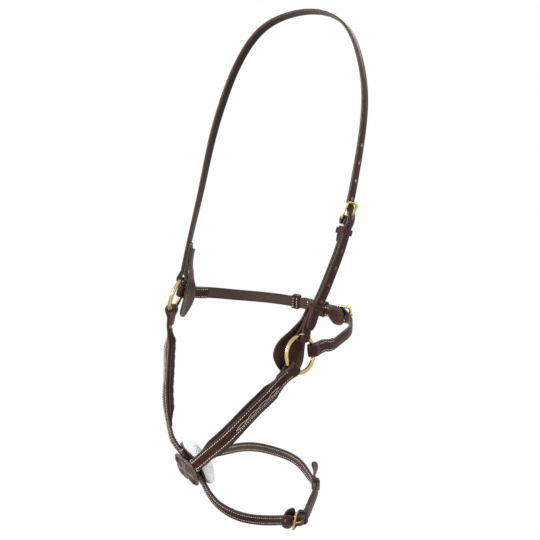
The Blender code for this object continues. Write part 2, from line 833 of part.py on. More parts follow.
def headpiece():
    half = half_of(CHEEK_THICKNESS)
    top = over(CHEEK_THICKNESS, HEAD_THICKNESS)
    end = HEAD.length
    bar = end - CHEEK_BAR_HEIGHT
    base = half_of(HEAD_THICKNESS)
    buckle = Buckle("cheek", HEAD, bar, -1, HEAD_WIDTH, CHEEK_THICKNESS, HEAD_THICKNESS)

    tail = end - HEAD_TAIL_HEIGHT
    fold = ring_loop(0, 1, HEAD_WIDTH, HEAD_THICKNESS, HEAD_TURN_BACK)
    long_run = [(fold[-1][0], base), (bar - BUCKLE_LENGTH - BILLET_APPROACH, base), *buckle.billet_knots()]
    lay_down = [
        (bar + BILLET_SETTLE, top),
        (tail - HEAD_TAIL_BEND, top),
        (tail, top + HEAD_TAIL_LIFT),
    ]
    path = joined(fold, run(long_run + lay_down))
    strap = strip("head_strap", HEAD, path, pointed(HEAD_WIDTH), HEAD_THICKNESS, "leather")
    punched(strap, HEAD, path, buckle.crossing(path), range(-4, 6), HOLE_PITCH)

    fold = bar_loop(bar, 1, CHEEK_THICKNESS, CHEEK_BUCKLE_TURN_BACK)
    other = ring_loop(end, -1, HEAD_WIDTH, CHEEK_THICKNESS, CHEEK_TURN_BACK)
    path = joined(fold, run([fold[-1], other[-1]]), other[::-1])
    strap = strip("cheek_strap", HEAD, path, HEAD_WIDTH, CHEEK_THICKNESS, "leather")
    buckle.slot(strap)
    buckle.frame()
    buckle.tongue()

    inner = -half - CHEEK_THICKNESS / 2
    outer = top + HEAD_THICKNESS / 2
    keeper("cheek_keeper", HEAD, bar + CHEEK_KEEPER, inner, outer, HEAD_WIDTH, RUNNER_LENGTH)
    single = half - CHEEK_THICKNESS / 2
    keeper("cheek_runner", HEAD, end - CHEEK_RUNNER_HEIGHT, single, outer, HEAD_WIDTH, RUNNER_LENGTH)


def jaw_piece():
    half = half_of(JAW_THICKNESS)
    top = over(JAW_THICKNESS, JAW_THICKNESS)
    end = JAW.length
    bar = end - JAW_BAR_FROM_NEAR_RING
    buckle = Buckle("jaw", JAW, bar, 1, JAW_WIDTH, JAW_THICKNESS, JAW_THICKNESS)

    fold = ring_loop(0, 1, JAW_WIDTH, JAW_THICKNESS, JAW_TURN_BACK)
    other = bar_loop(bar, -1, JAW_THICKNESS, JAW_BUCKLE_TURN_BACK)
    path = joined(fold, run([fold[-1], other[-1]]), other[::-1])
    strap = strip("jaw_strap", JAW, path, JAW_WIDTH, JAW_THICKNESS, "leather")
    buckle.slot(strap)
    buckle.frame()
    buckle.tongue()

    fold = ring_loop(end, -1, JAW_WIDTH, JAW_THICKNESS, JAW_TURN_BACK)
    approach = [fold[-1], (bar + BUCKLE_LENGTH + BILLET_APPROACH, half), *buckle.billet_knots()]
    path = joined(fold, run(approach + [(bar - BILLET_SETTLE, top), (bar - JAW_TAIL, top)]))
    billet = strip("jaw_billet", JAW, path, pointed(JAW_WIDTH), JAW_THICKNESS, "leather")
    punched(billet, JAW, path, buckle.crossing(path), range(-2, 4), SHORT_HOLE_PITCH)

    inner = -half - JAW_THICKNESS / 2
    outer = top + JAW_THICKNESS / 2
    single = half - JAW_THICKNESS / 2
    keeper("jaw_front_keeper", JAW, bar - JAW_FRONT_KEEPER, single, outer, JAW_WIDTH, 10.0)
    keeper("jaw_rear_keeper", JAW, bar - JAW_REAR_KEEPER, inner, outer, JAW_WIDTH)
    buckle_safe("jaw_buckle_safe", JAW, bar, 1, JAW_THICKNESS, JAW_SAFE_LENGTH, JAW_SAFE_WIDTH)


def buckle_safe(name, route, bar, facing, thickness, length, width):
    # A leaf of leather between the buckle and the skin, held under the turn-back
    level = -half_of(thickness) - thickness / 2 - GAP - SAFE_THICKNESS / 2
    low = -bar_radius(thickness) - thickness / 2 - GAP - SAFE_THICKNESS / 2
    root = bar - facing * 9
    path = run([(root, level), (bar - facing * 4, low), (root + facing * length, low)])

    def shape(reached, total):
        share = reached / total
        belly = math.sin(math.pi * min(1.0, share * 0.92 + 0.08)) ** 0.6
        return 11.0 + (width - 11.0) * belly * ease(share / 0.35) - 8.0 * ease((share - 0.8) / 0.2)

    strip(name, route, path, shape, SAFE_THICKNESS, "leather", columns=(-1, 0, 1))


def nose_piece():
    half = half_of(NOSE_THICKNESS)
    top = over(NOSE_THICKNESS, NOSE_THICKNESS)
    end = NOSE.length
    bar = BACK_CROSSING - CHIN_BAR_FROM_CROSSING
    buckle = Buckle("chin", NOSE, bar, 1, CHIN_WIDTH, NOSE_THICKNESS, NOSE_THICKNESS)

    fold = ring_loop(0, 1, NOSE_WIDTH, NOSE_THICKNESS, NOSE_TURN_BACK)
    other = bar_loop(bar, -1, NOSE_THICKNESS, CHIN_BUCKLE_TURN_BACK)
    path = joined(fold, run([fold[-1], other[-1]]), other[::-1])
    total = path_length(NOSE, path)[-1]
    width = narrowing(FRONT_CROSSING + NOSE_TURN_BACK, total)
    strap = strip("near_nose_strap", NOSE, path, width, NOSE_THICKNESS, "leather")
    buckle.slot(strap)
    buckle.frame()
    buckle.tongue()

    fold = ring_loop(end, -1, NOSE_WIDTH, NOSE_THICKNESS, NOSE_TURN_BACK)
    under = [
        (BACK_CROSSING + 1.75 * CROSS_FLAT, half),
        (BACK_CROSSING + CROSS_FLAT, -half),
        (BACK_CROSSING - 1.2 * CROSS_FLAT, -half),
    ]
    approach = [(bar + BUCKLE_LENGTH + BILLET_APPROACH, -half), *buckle.billet_knots()]
    settle = (bar - BILLET_SETTLE, top)
    lift = [(bar - CHIN_TAIL + CHIN_TAIL_BEND, top), (bar - CHIN_TAIL, top + CHIN_TAIL_LIFT)]
    path = joined(fold, run([fold[-1], *under, *approach, settle, *lift]))
    total = path_length(NOSE, path)[-1]
    taper = pointed(1.0)
    wide = narrowing(end - BACK_CROSSING + NOSE_TURN_BACK, total)
    shape = lambda reached, whole: taper(reached, whole) * wide(reached, whole)
    strap = strip("off_nose_strap", NOSE, path, shape, NOSE_THICKNESS, "leather")
    punched(strap, NOSE, path, buckle.crossing(path), range(-2, 4), SHORT_HOLE_PITCH)
    cut(strap, pegs(rivet_spots(), RIVET_SHANK + HOLE_PLAY, 12.0), "rivet holes")

    inner = -half - NOSE_THICKNESS / 2
    outer = top + NOSE_THICKNESS / 2
    single = half - NOSE_THICKNESS / 2
    keeper("chin_keeper", NOSE, bar - CHIN_KEEPER, inner, outer, CHIN_WIDTH)
    keeper("chin_runner", NOSE, bar - CHIN_RUNNER, single, outer, CHIN_WIDTH, RUNNER_LENGTH)
    buckle_safe("chin_buckle_safe", NOSE, bar, 1, NOSE_THICKNESS, CHIN_SAFE_LENGTH, CHIN_SAFE_WIDTH)
    start = NOSE_TURN_BACK + LINING_CLEAR_OF_LOOP
    stop = LINING_CLEAR_OF_CROSSING
    padding("near", start, FRONT_CROSSING - stop, half)
    padding("off", end - start, BACK_CROSSING + stop + OFF_LINING_SHORTER, half)


def narrowing(wide_until, total):
    # Nose strap width down to chin strap width, just past the crossing
    def shape(reached, whole):
        return NOSE_WIDTH + (CHIN_WIDTH - NOSE_WIDTH) * ease((reached - wide_until + 20) / 40)

    return shape


def padding(side, start, stop, level):
    # A soft channel of leather behind the strap, filled out by a strip of felt
    back = level - NOSE_THICKNESS / 2 - GAP - LINING_THICKNESS / 2
    path = run([(start, back), (stop, back)], 4)
    length = abs(stop - start)

    def swell(reached):
        return ease(reached / LINING_RING_TAPER) * ease((length - reached) / LINING_TAPER)

    def shape(reached, total):
        return NOSE_WIDTH - 1 + (LINING_WIDTH - NOSE_WIDTH + 1) * swell(reached)

    def crown(reached, total, v):
        return LINING_CROWN * (0.12 + 0.88 * swell(reached)) * (1 - abs(v) ** 3.5)

    columns = (-1, -0.85, -0.55, 0, 0.55, 0.85, 1)
    name = side + "_nose_lining"
    strip(name, NOSE, path, shape, LINING_THICKNESS, "lining", columns, crown)

    core = LINING_CROWN - LINING_THICKNESS / 2 - 3 * GAP
    middle = level - NOSE_THICKNESS / 2 - 2 * GAP - core / 2
    inset = LINING_TAPER if stop > start else -LINING_TAPER
    path = run([(start + inset, middle), (stop - inset, middle)], 6)
    obj = strip(side + "_nose_filler", NOSE, path, FILLER_WIDTH, core, "padding")
    obj.modifiers["soft edges"].width = 1.4 * MM


def cross_axes():
    normal = unit(CROSS_NORMAL)
    down = NOSE.frame(BACK_CROSSING)[1]
    down = unit(down - down.dot(normal) * normal)
    return -down, np.cross(normal, -down), normal


def rivet_spots():
    along, _, normal = cross_axes()
    return [(CROSSING + along * out, normal) for out in (-RIVET_OUT, RIVET_OUT)]


def crossing_pieces():
    along, side, normal = cross_axes()
    face = half_of(NOSE_THICKNESS) + NOSE_THICKNESS / 2 + GAP
    rosette_level = face + ROSETTE_THICKNESS / 2
    outline = []
    for step in range(48):
        turn = 2 * math.pi * step / 48
        reach = ROSETTE_RADIUS * (1 + 0.10 * math.cos(4 * turn) + 0.035 * math.cos(12 * turn))
        outline.append((reach * math.cos(turn), reach * math.sin(turn)))
    axes = (along, side, normal)
    centre = CROSSING + rosette_level * normal
    rosette = outline_plate("rosette", outline, centre, axes, ROSETTE_THICKNESS, "leather")
    cut(rosette, pegs(rivet_spots(), RIVET_SHANK + HOLE_PLAY, 20.0), "rivet holes")

    outline = []
    for step in range(24):
        turn = 2 * math.pi * step / 24
        shrink = (abs(math.cos(turn)) ** 1.25 + abs(math.sin(turn)) ** 1.25) ** (-1 / 1.25)
        outline.append((BACKING_LONG * shrink * math.cos(turn), BACKING_SHORT * shrink * math.sin(turn)))
    backing_level = -face - BACKING_THICKNESS / 2
    centre = CROSSING + backing_level * normal
    backing = outline_plate("crossing_backing", outline, centre, axes, BACKING_THICKNESS, "leather")
    cut(backing, pegs(rivet_spots(), RIVET_SHANK + HOLE_PLAY, 20.0), "rivet holes")

    head = rosette_level + ROSETTE_THICKNESS / 2 + GAP
    foot = backing_level - BACKING_THICKNESS / 2 + GAP
    for name, (spot, _) in zip(("lower_rivet", "upper_rivet"), rivet_spots()):
        rivet(name, spot, axes, head, foot)
    fleece(backing_level - BACKING_THICKNESS / 2 - GAP, axes)


def rivet(name, spot, axes, head, foot):
    # A domed head on a plain shank, turned round its own axis
    radius = RIVET_HEAD / 2
    profile = [(0.0, head + 1.3), (0.6 * radius, head + 1.1), (radius, head + 0.4), (radius, head)]
    profile += [(RIVET_SHANK / 2, head), (RIVET_SHANK / 2, foot), (0.0, foot)]
    mesh = bmesh.new()
    verts = [mesh.verts.new((x * MM, 0, z * MM)) for x, z in profile]
    for one, other in zip(verts, verts[1:]):
        mesh.edges.new((one, other))
    obj = mesh_object(name, mesh, "dark_brass")
    turned = obj.modifiers.new("turned", "SCREW")
    turned.steps = 12
    turned.render_steps = 12
    turned.use_merge_vertices = True
    turned.merge_threshold = 0.00001
    obj.location = to_metres(spot)
    obj.rotation_euler = Vector(tuple(axes[2])).to_track_quat("Z", "Y").to_euler()


def fleece(level, axes):
    # A round pad of wool, crowned towards the nose bone and flat against its backing
    along, side, normal = axes
    mesh = bmesh.new()
    bmesh.ops.create_uvsphere(mesh, u_segments=28, v_segments=12, radius=1.0)
    for vert in mesh.verts:
        x, y, z = vert.co
        turn = math.atan2(y, x)
        reach = FLEECE_RADIUS * (1 + 0.025 * math.cos(5 * turn) + 0.015 * math.sin(9 * turn))
        out = 0.35 * z if z > 0 else z
        depth = -FLEECE_THICKNESS * (0.26 - 0.74 * out)
        flat = math.hypot(x, y) ** 0.75 / max(math.hypot(x, y), 0.0001)
        spot = CROSSING + (level + min(depth, 0.0)) * normal
        spot = spot + along * x * flat * reach + side * y * flat * reach
        vert.co = to_metres(spot)
    mesh_object("fleece_pad", mesh, "fleece")


def ring_safe(name, ring, at_end, thickness, length, half_width, tilt, turn):
    # A dished leaf that hangs behind the ring from the strap above it
    facing = -1 if at_end else 1
    base = HEAD.length if at_end else 0.0
    depth = half_of(thickness) + thickness / 2 + GAP + SAFE_THICKNESS / 2
    stops = []
    for up, sink in ((1.0, 0.0), (0.75, 0.2), (0.5, 1.2), (0.2, 4.2)):
        at = base + facing * up * SAFE_TAB
        stops.append((HEAD.place(at, -depth - sink), HEAD.frame(at)[2]))
    start, tangent, _, _ = HEAD.frame(base)
    down = -facing * tangent
    down = unit(down - down.dot(ring.axis) * ring.axis)
    down = math.cos(math.radians(tilt)) * down + math.sin(math.radians(tilt)) * ring.forward
    turn = math.radians(turn)
    facing_out = math.cos(turn) * ring.axis + math.sin(turn) * np.cross(vec(0, 0, 1), ring.axis)
    for reach, extra in ((0.13, 0.0), (0.39, 0.3), (0.7, 0.8), (1.0, 1.5)):
        spot = start + down * reach * length - ring.axis * (SAFE_STANDOFF + extra)
        stops.append((spot, facing_out))
    route = Route(stops)
    tab = SAFE_TAB

    def shape(reached, total):
        share = (reached - tab * 0.55) / (total - tab * 0.55)
        if share < 0:
            return HEAD_WIDTH - 1
        leaf = math.sin(math.pi * share**1.9) ** 0.7 if share < 1 else 0.0
        return HEAD_WIDTH - 1 + (2 * half_width - HEAD_WIDTH + 1) * leaf - 7 * ease((share - 0.8) / 0.2)

    def crown(reached, total, v):
        share = max(0.0, reached - tab) / (total - tab)
        return SAFE_DISH * (v * v) * math.sin(math.pi * min(1.0, share))

    path = run([(0.0, 0.0), (route.length, 0.0)], 2)
    strip(name, route, path, shape, SAFE_THICKNESS, "leather", (-1, -0.5, 0, 0.5, 1), crown)


def poll_point():
    # The spot of the head strap's inner face that is midway between the rings
    level = half_of(HEAD_THICKNESS) - HEAD_THICKNESS / 2
    return HEAD.place(HEAD.straights[0][0], level)


NEAR = Ring(NEAR_RING, NEAR_RING_AXIS)
OFF = Ring(OFF_RING, OFF_RING_AXIS)
HEAD = head_route()
JAW = jaw_route()
NOSE = nose_route()
POLL = poll_point()
FRONT_CROSSING, BACK_CROSSING = (straight[0] for straight in NOSE.straights)

clear_scene()
NOSEBAND = collection("noseband")
CUTTERS = collection("cutters")
rings()
headpiece()
jaw_piece()
nose_piece()
crossing_pieces()
near_leaf = (NEAR_SAFE_LENGTH, NEAR_SAFE_HALF_WIDTH, NEAR_SAFE_TILT, NEAR_SAFE_TURN)
off_leaf = (OFF_SAFE_LENGTH, OFF_SAFE_HALF_WIDTH, OFF_SAFE_TILT, OFF_SAFE_TURN)
ring_safe("near_ring_safe", NEAR, True, CHEEK_THICKNESS, *near_leaf)
ring_safe("off_ring_safe", OFF, False, HEAD_THICKNESS, *off_leaf)
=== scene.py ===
import json
import math

import bmesh
import bpy
import numpy as np
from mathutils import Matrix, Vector


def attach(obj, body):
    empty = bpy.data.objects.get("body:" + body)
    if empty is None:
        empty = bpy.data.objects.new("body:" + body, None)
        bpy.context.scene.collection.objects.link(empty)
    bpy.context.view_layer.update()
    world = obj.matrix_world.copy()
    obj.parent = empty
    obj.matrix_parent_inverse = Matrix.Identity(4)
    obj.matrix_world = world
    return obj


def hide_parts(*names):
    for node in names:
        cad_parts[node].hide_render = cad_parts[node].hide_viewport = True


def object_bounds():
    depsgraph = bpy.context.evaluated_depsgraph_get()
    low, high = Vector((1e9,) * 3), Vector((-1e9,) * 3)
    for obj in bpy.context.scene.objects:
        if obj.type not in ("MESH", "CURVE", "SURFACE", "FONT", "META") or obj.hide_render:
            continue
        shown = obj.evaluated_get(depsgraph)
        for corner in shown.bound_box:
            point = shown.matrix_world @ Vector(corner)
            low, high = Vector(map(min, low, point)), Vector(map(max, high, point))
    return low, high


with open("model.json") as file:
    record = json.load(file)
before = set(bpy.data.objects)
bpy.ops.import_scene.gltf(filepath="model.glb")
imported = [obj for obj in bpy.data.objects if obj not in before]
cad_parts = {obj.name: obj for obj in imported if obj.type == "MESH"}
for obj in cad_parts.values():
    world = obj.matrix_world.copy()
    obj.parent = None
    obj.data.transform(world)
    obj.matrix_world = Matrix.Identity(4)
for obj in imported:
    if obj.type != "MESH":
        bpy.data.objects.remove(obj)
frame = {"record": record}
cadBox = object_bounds()
bodyOf = {node: body for body, nodes in frame["record"]["behaviour"]["bodies"].items() for node in nodes}
print("frame loaded:", len(bodyOf), "nodes")

mm = 0.001
play = {"layer": 0.3, "ring": 1.1, "bar": 0.35, "keeper": 0.5}
ringSizes = {"inside": 38.0, "wire": 5.0, "span": 190.0, "stagger": 16.0, "drop": 31.0}
loopAngles = {"head": -20, "cheek": -23, "nearNose": 130, "offNose": 164, "nearJaw": -92, "offJaw": -98}


# The lines that the straps follow, as in the solid part


def vec(x, y, z):
    return np.array((x, y, z), float)


def unit(v):
    return np.asarray(v, float) / np.linalg.norm(v)


def ease(x):
    x = min(max(x, 0.0), 1.0)
    return x * x * (3 - 2 * x)


def lengthsOf(vectors):
    return np.linalg.norm(vectors, axis=1)


def reachedAt(points):
    # The distance along the line through the points, at each of them
    return np.concatenate([[0], np.cumsum(lengthsOf(np.diff(points, axis=0)))])


def spline(knots, values, at):
    count = len(knots)
    step = np.diff(knots)
    slopes = np.diff(values, axis=0) / step[:, None]
    system = np.eye(count)
    bend = np.zeros_like(values)
    for i in range(1, count - 1):
        system[i, i - 1 : i + 2] = step[i - 1], 2 * (step[i - 1] + step[i]), step[i]
        bend[i] = 6 * (slopes[i] - slopes[i - 1])
    bend = np.linalg.solve(system, bend)
    i = np.clip(np.searchsorted(knots, at) - 1, 0, count - 2)
    h = step[i][:, None]
    ahead = (knots[i + 1] - at)[:, None]
    behind = (at - knots[i])[:, None]
    curved = (bend[i] * ahead**3 + bend[i + 1] * behind**3) / (6 * h)
    level = (values[i] / h - bend[i] * h / 6) * ahead
    return curved + level + (values[i + 1] / h - bend[i + 1] * h / 6) * behind


class Route:
    def __init__(self, stops):
        self.straights = []
        points = np.array([stop[0] for stop in stops], float)
        normals = np.array([unit(stop[1]) for stop in stops])
        knots = reachedAt(points)
        at = np.linspace(0, knots[-1], int(knots[-1]) + 1)
        self.points = spline(knots, points, at)
        self.tangents = np.gradient(self.points, axis=0)
        self.tangents /= lengthsOf(self.tangents)[:, None]
        turned = np.stack([np.interp(at, knots, normals[:, k]) for k in range(3)], axis=1)
        turned -= (turned * self.tangents).sum(axis=1)[:, None] * self.tangents
        self.normals = turned / lengthsOf(turned)[:, None]
        self.along = reachedAt(self.points)
        self.length = self.along[-1]

    def frame(self, at):
        point, tangent, normal, _ = self.smoothFrame(at)
        for centre, half, fade, (middle, along, out) in self.straights:
            share = ease((half + fade - abs(at - centre)) / max(fade, 0.001))
            if share > 0:
                point = point + share * (middle + (at - centre) * along - point)
                tangent = unit(tangent + share * (along - tangent))
                normal = normal + share * (out - normal)
                normal = unit(normal - normal.dot(tangent) * tangent)
        return point, tangent, normal, np.cross(tangent, normal)

    def smoothFrame(self, at):
        inside = min(max(at, 0.0), self.length)
        read = lambda table: np.array([np.interp(inside, self.along, table[:, k]) for k in range(3)])
        tangent = unit(read(self.tangents))
        normal = read(self.normals)
        normal = unit(normal - normal.dot(tangent) * tangent)
        point = read(self.points) + (at - inside) * tangent
        return point, tangent, normal, np.cross(tangent, normal)

    def place(self, at, out=0.0):
        point, _, normal, _ = self.frame(at)
        return point + out * normal


ringRadius = (ringSizes["inside"] + ringSizes["wire"]) / 2


class Ring:
    def __init__(self, centre, axis):
        self.centre = centre
        self.axis = unit(axis)
        self.up = unit(vec(0, 0, 1) - self.axis[2] * self.axis)
        self.forward = unit(np.cross(self.axis, self.up))
        if self.forward[1] > 0:
            self.forward = -self.forward

    def wire(self, angle):
        turn = math.radians(angle)
        return self.centre + ringRadius * (math.cos(turn) * self.up + math.sin(turn) * self.forward)

    def leave(self, angle, towards, straight):
        start = self.wire(angle)
        tangent = unit(np.cross(self.axis, start - self.centre))
        heading = towards - start
        heading = unit(heading - heading.dot(tangent) * tangent)
        outward = np.cross(heading, tangent)
        if outward.dot(self.axis) < 0:
            outward = -outward
        return [(start + step * heading, outward) for step in (0.0, straight / 2, straight)]


def run(knots, step=1.5):
    path = []
    for (s0, b0), (s1, b1) in zip(knots, knots[1:]):
        count = max(2, int(abs(s1 - s0) / step))
        for i in range(count):
            share = i / count
            path.append((s0 + (s1 - s0) * share, b0 + (b1 - b0) * ease(share)))
    return path + [knots[-1]]


def loop(at, facing, radius, half, pinch, turnBack):
    inner = run([(at + facing * turnBack, -half), (at + facing * pinch, -half), (at, -radius)])
    arc = []
    for degrees in range(-80, 90, 10):
        turn = math.radians(degrees)
        arc.append((at - facing * radius * math.cos(turn), radius * math.sin(turn)))
    return inner + arc + run([(at, radius), (at + facing * pinch, half)])


def joined(*parts):
    path = []
    for spot in sum(parts, []):
        if not path or math.dist(path[-1], spot) > 0.01:
            path.append(spot)
    return path


def halfOf(thickness):
    return (thickness + play["layer"]) / 2


def levelOver(thickness, topThickness):
    return halfOf(thickness) + thickness / 2 + play["layer"] + topThickness / 2


def barRadius(thickness):
    return buckleSizes["wire"] / 2 + play["bar"] + thickness / 2


def ringLoop(at, facing, width, thickness, turnBack):
    sag = ringRadius - math.sqrt(ringRadius**2 - (width / 2) ** 2)
    radius = ringSizes["wire"] / 2 + play["ring"] + thickness / 2
    return loop(at - facing * sag, facing, radius, halfOf(thickness), 2.2 * radius, turnBack)


def barLoop(at, facing, thickness, turnBack):
    radius = barRadius(thickness)
    return loop(at, facing, radius, halfOf(thickness), 2.6 * radius, turnBack)


def pointed(width, point=11.0):
    def shape(reached, total):
        left = min(total - reached, point) / point
        return width * (0.14 + 0.86 * math.sqrt(max(0.0, 1 - (1 - left) ** 2)))

    return shape


def place(point):
    return (np.asarray(point, float) - poll) * mm


# Routes: over the head, round the jaw, and from ring to ring through the crossing and the chin

headSizes = {
    "height": 386.5,
    "halfWidth": 103.5,
    "lean": 24.0,
    "width": 13.0,
    "thickness": 3.4,
    "cheekThickness": 2.8,
    "bar": 144.0,
    "tail": 9.0,
    "tailLift": 1.5,
    "tailBend": 30.0,
    "lead": 28.0,
    "turnBack": 48.0,
    "cheekTurnBack": 28.0,
    "buckleTurnBack": 27.0,
    "keeper": 14.0,
    "runner": 37.0,
    "flat": 16.0,
    "holePitch": 21.0,
    "holeWidth": 4.2,
}
jawSizes = {
    "depth": 138.0,
    "lead": 22.0,
    "width": 14.5,
    "thickness": 2.8,
    "bar": 136.0,
    "tail": 62.0,
    "turnBack": 40.0,
    "buckleTurnBack": 48.0,
    "frontKeeper": 64.5,
    "rearKeeper": 22.0,
    "safeLength": 34.0,
    "safeWidth": 25.0,
    "holePitch": 15.0,
}
noseSizes = {
    "forward": 82.5,
    "drop": 161.5,
    "lead": 20.0,
    "normal": (-0.139, -0.933, -0.329),
    "nearHeading": (-0.748, 0.394, -0.533),
    "offHeading": (0.616, 0.175, -0.763),
    "flat": 24.0,
    "fade": 14.0,
    "chinDepth": 146.0,
    "chinDrop": 121.0,
    "chinHalfWidth": 62.0,
    "width": 16.0,
    "chinWidth": 13.0,
    "thickness": 3.0,
    "turnBack": 20.0,
    "bar": 210.0,
    "tail": 127.0,
    "tailLift": 19.0,
    "tailBend": 26.0,
    "buckleTurnBack": 24.0,
    "keeper": 14.0,
    "runner": 90.0,
    "safeLength": 39.0,
    "safeWidth": 28.0,
    "holePitch": 15.0,
    "narrowing": 40.0,
    "liningWidth": 22.5,
    "liningThickness": 1.2,
    "liningCrown": 6.5,
    "liningGap": 40.0,
    "loopGap": 3.0,
    "offShorter": 16.0,
    "liningTaper": 26.0,
    "ringTaper": 14.0,
    "rowInset": 3.2,
    "rowStart": 4.0,
    "rowStop": 40.0,
    "latticeStart": 16.0,
    "latticeWave": 17.0,
    "latticeWaves": 4,
    "latticeReach": 1.7,
    "latticeAside": -1.5,
}
buckleSizes = {
    "wire": 3.2,
    "length": 20.0,
    "rise": 5.0,
    "corner": 3.0,
    "sidePlay": 1.4,
    "tongue": 2.4,
    "hump": 3.2,
    "approach": 14.0,
    "settle": 11.0,
}

nearCentre = vec(ringSizes["span"], ringSizes["stagger"], -ringSizes["drop"]) / 2
nearRing = Ring(nearCentre, (0.97, -0.10, 0.21))
offRing = Ring(-nearCentre, (-0.87, -0.40, 0.28))
crossing = vec(0, -noseSizes["forward"], -noseSizes["drop"])
crossNormal = unit(noseSizes["normal"])


def headRoute():
    lean = math.radians(headSizes["lean"])
    up = vec(0, math.sin(lean), math.cos(lean))
    side = (nearRing.centre - offRing.centre) / ringSizes["span"]
    arch = [
        (-0.955, 0.268), (-0.984, 0.380), (-1.022, 0.505), (-1.019, 0.644),
        (-0.933, 0.799), (-0.743, 0.905), (-0.429, 0.969), (-0.048, 1.000),
        (0.267, 0.988), (0.590, 0.905), (0.800, 0.791), (0.905, 0.665),
        (0.980, 0.497), (1.011, 0.354), (0.981, 0.254), (0.955, 0.195),
    ]
    spots = [a * headSizes["halfWidth"] * side + b * headSizes["height"] * up for a, b in arch]
    first = offRing.leave(loopAngles["head"], spots[0], headSizes["lead"])
    last = nearRing.leave(loopAngles["cheek"], spots[-1], headSizes["lead"])
    stops = []
    for spot, (across, rise) in zip(spots, arch):
        outward = unit(across * side + max(0.0, rise - 0.75) * 4 * up)
        onRing = (first if across < 0 else last)[0][1]
        stops.append((spot, onRing + ease((rise - 0.1) / 0.55) * (outward - onRing)))
    route = Route(first + stops + last[::-1])
    top = route.along[int(np.argmin(abs(route.points[:, 0])))]
    route.straights.append((top, headSizes["flat"] / 2, 0.0, route.smoothFrame(top)[:3]))
    return route


def jawRoute():
    half = ringSizes["span"] / 2
    plan = [
        (-1.03, 0.30, 4.0), (-0.90, 0.61, -8.0), (-0.58, 0.85, -14.0),
        (-0.11, 0.97, -15.0), (0.37, 1.00, -15.5), (0.69, 0.965, -15.0),
        (0.905, 0.82, -18.0), (0.99, 0.61, -19.0), (1.02, 0.39, -18.5),
    ]
    stops = []
    for across, back, rise in plan:
        outward = vec(0.9 * across, 1.2 * back - 0.35, 0)
        stops.append((vec(across * half, back * jawSizes["depth"], rise), outward))
    first = offRing.leave(loopAngles["offJaw"], stops[0][0], jawSizes["lead"])
    last = nearRing.leave(loopAngles["nearJaw"], stops[-1][0], jawSizes["lead"])
    return Route(first + stops + last[::-1])


def straightOver(heading):
    ahead = unit(np.array(heading) - np.dot(heading, crossNormal) * crossNormal)
    flat = noseSizes["flat"]
    return [(crossing + step * ahead, noseSizes["normal"]) for step in (-flat, 0.0, flat)]


def noseRoute():
    nearSide = [
        (0.911, 0.324, 0.303, (0.88, -0.46, 0.12)),
        (0.824, 0.585, 0.416, (0.86, -0.50, 0.02)),
        (0.711, 0.834, 0.545, (0.76, -0.64, -0.08)),
        (0.564, 0.953, 0.667, (0.50, -0.84, -0.20)),
        (0.364, 1.034, 0.802, (0.12, -0.94, -0.32)),
    ]
    offSide = [
        (-0.435, 0.928, 0.703, (-0.16, -0.94, -0.29)),
        (-0.611, 0.781, 0.579, (-0.04, -0.97, -0.22)),
        (-0.807, 0.541, 0.437, (-0.04, -0.97, -0.22)),
        (-0.951, 0.357, 0.294, (-0.16, -0.96, -0.15)),
    ]
    chin = [
        (-0.500, 0.081, 0.179, (-0.5, -0.8, -0.3)),
        (-0.660, 0.234, 0.216, (-0.95, -0.3, -0.2)),
        (-0.890, 0.486, 0.375, (-1, 0, -0.1)),
        (-1.000, 0.748, 0.549, (-1, 0.2, 0)),
        (-0.810, 0.942, 0.735, (-0.7, 0.7, 0)),
        (-0.450, 1.019, 0.858, (-0.3, 0.95, 0)),
        (-0.030, 1.000, 0.962, (0.1, 1, 0)),
        (0.240, 0.952, 0.974, (0.5, 0.85, 0)),
        (0.490, 0.828, 1.010, (0.78, 0.6, 0.08)),
        (0.740, 0.680, 1.018, (0.95, 0.2, 0.06)),
        (0.870, 0.525, 0.898, (1, 0.0, 0)),
        (0.900, 0.331, 0.723, (0.97, -0.2, 0)),
        (0.757, 0.203, 0.612, (0.85, -0.5, -0.1)),
        (0.596, 0.121, 0.505, (0.55, -0.8, -0.2)),
        (0.429, 0.067, 0.384, (0.15, -0.9, -0.3)),
        (0.308, 0.034, 0.244, (-0.1, -0.93, -0.34)),
    ]
    size = noseSizes
    reach = vec(size["chinHalfWidth"], size["chinDepth"] + size["forward"], -size["chinDrop"])
    loopStops = [(crossing + vec(a, b, c) * reach, outward) for a, b, c, outward in chin]
    toCrossing = vec(ringSizes["span"] / 2, -size["forward"], -size["drop"])
    nearSide, offSide = (
        [(vec(a, b, c) * toCrossing, outward) for a, b, c, outward in stops] for stops in (nearSide, offSide)
    )
    over = straightOver(size["nearHeading"])
    under = straightOver(size["offHeading"])
    first = nearRing.leave(loopAngles["nearNose"], nearSide[0][0], size["lead"])
    last = offRing.leave(loopAngles["offNose"], offSide[-1][0], size["lead"])
    route = Route(first + nearSide + over + loopStops + under[::-1] + offSide + last[::-1])
    middle = len(route.points) // 2
    away = lengthsOf(route.points - crossing)
    front = route.along[np.argmin(away[:middle])]
    back = route.along[middle + np.argmin(away[middle:])]
    for at, stops in ((front, over), (back, under[::-1])):
        ahead = unit(stops[-1][0] - stops[0][0])
        route.straights.append((at, size["flat"] - 2, size["fade"], (crossing, ahead, crossNormal)))
    return route


headLine = headRoute()
jawLine = jawRoute()
noseLine = noseRoute()
poll = headLine.place(headLine.straights[0][0], halfOf(headSizes["thickness"]) - headSizes["thickness"] / 2)
frontCrossing, backCrossing = (straight[0] for straight in noseLine.straights)
print("routes ready")


# Shader nodes written as sums


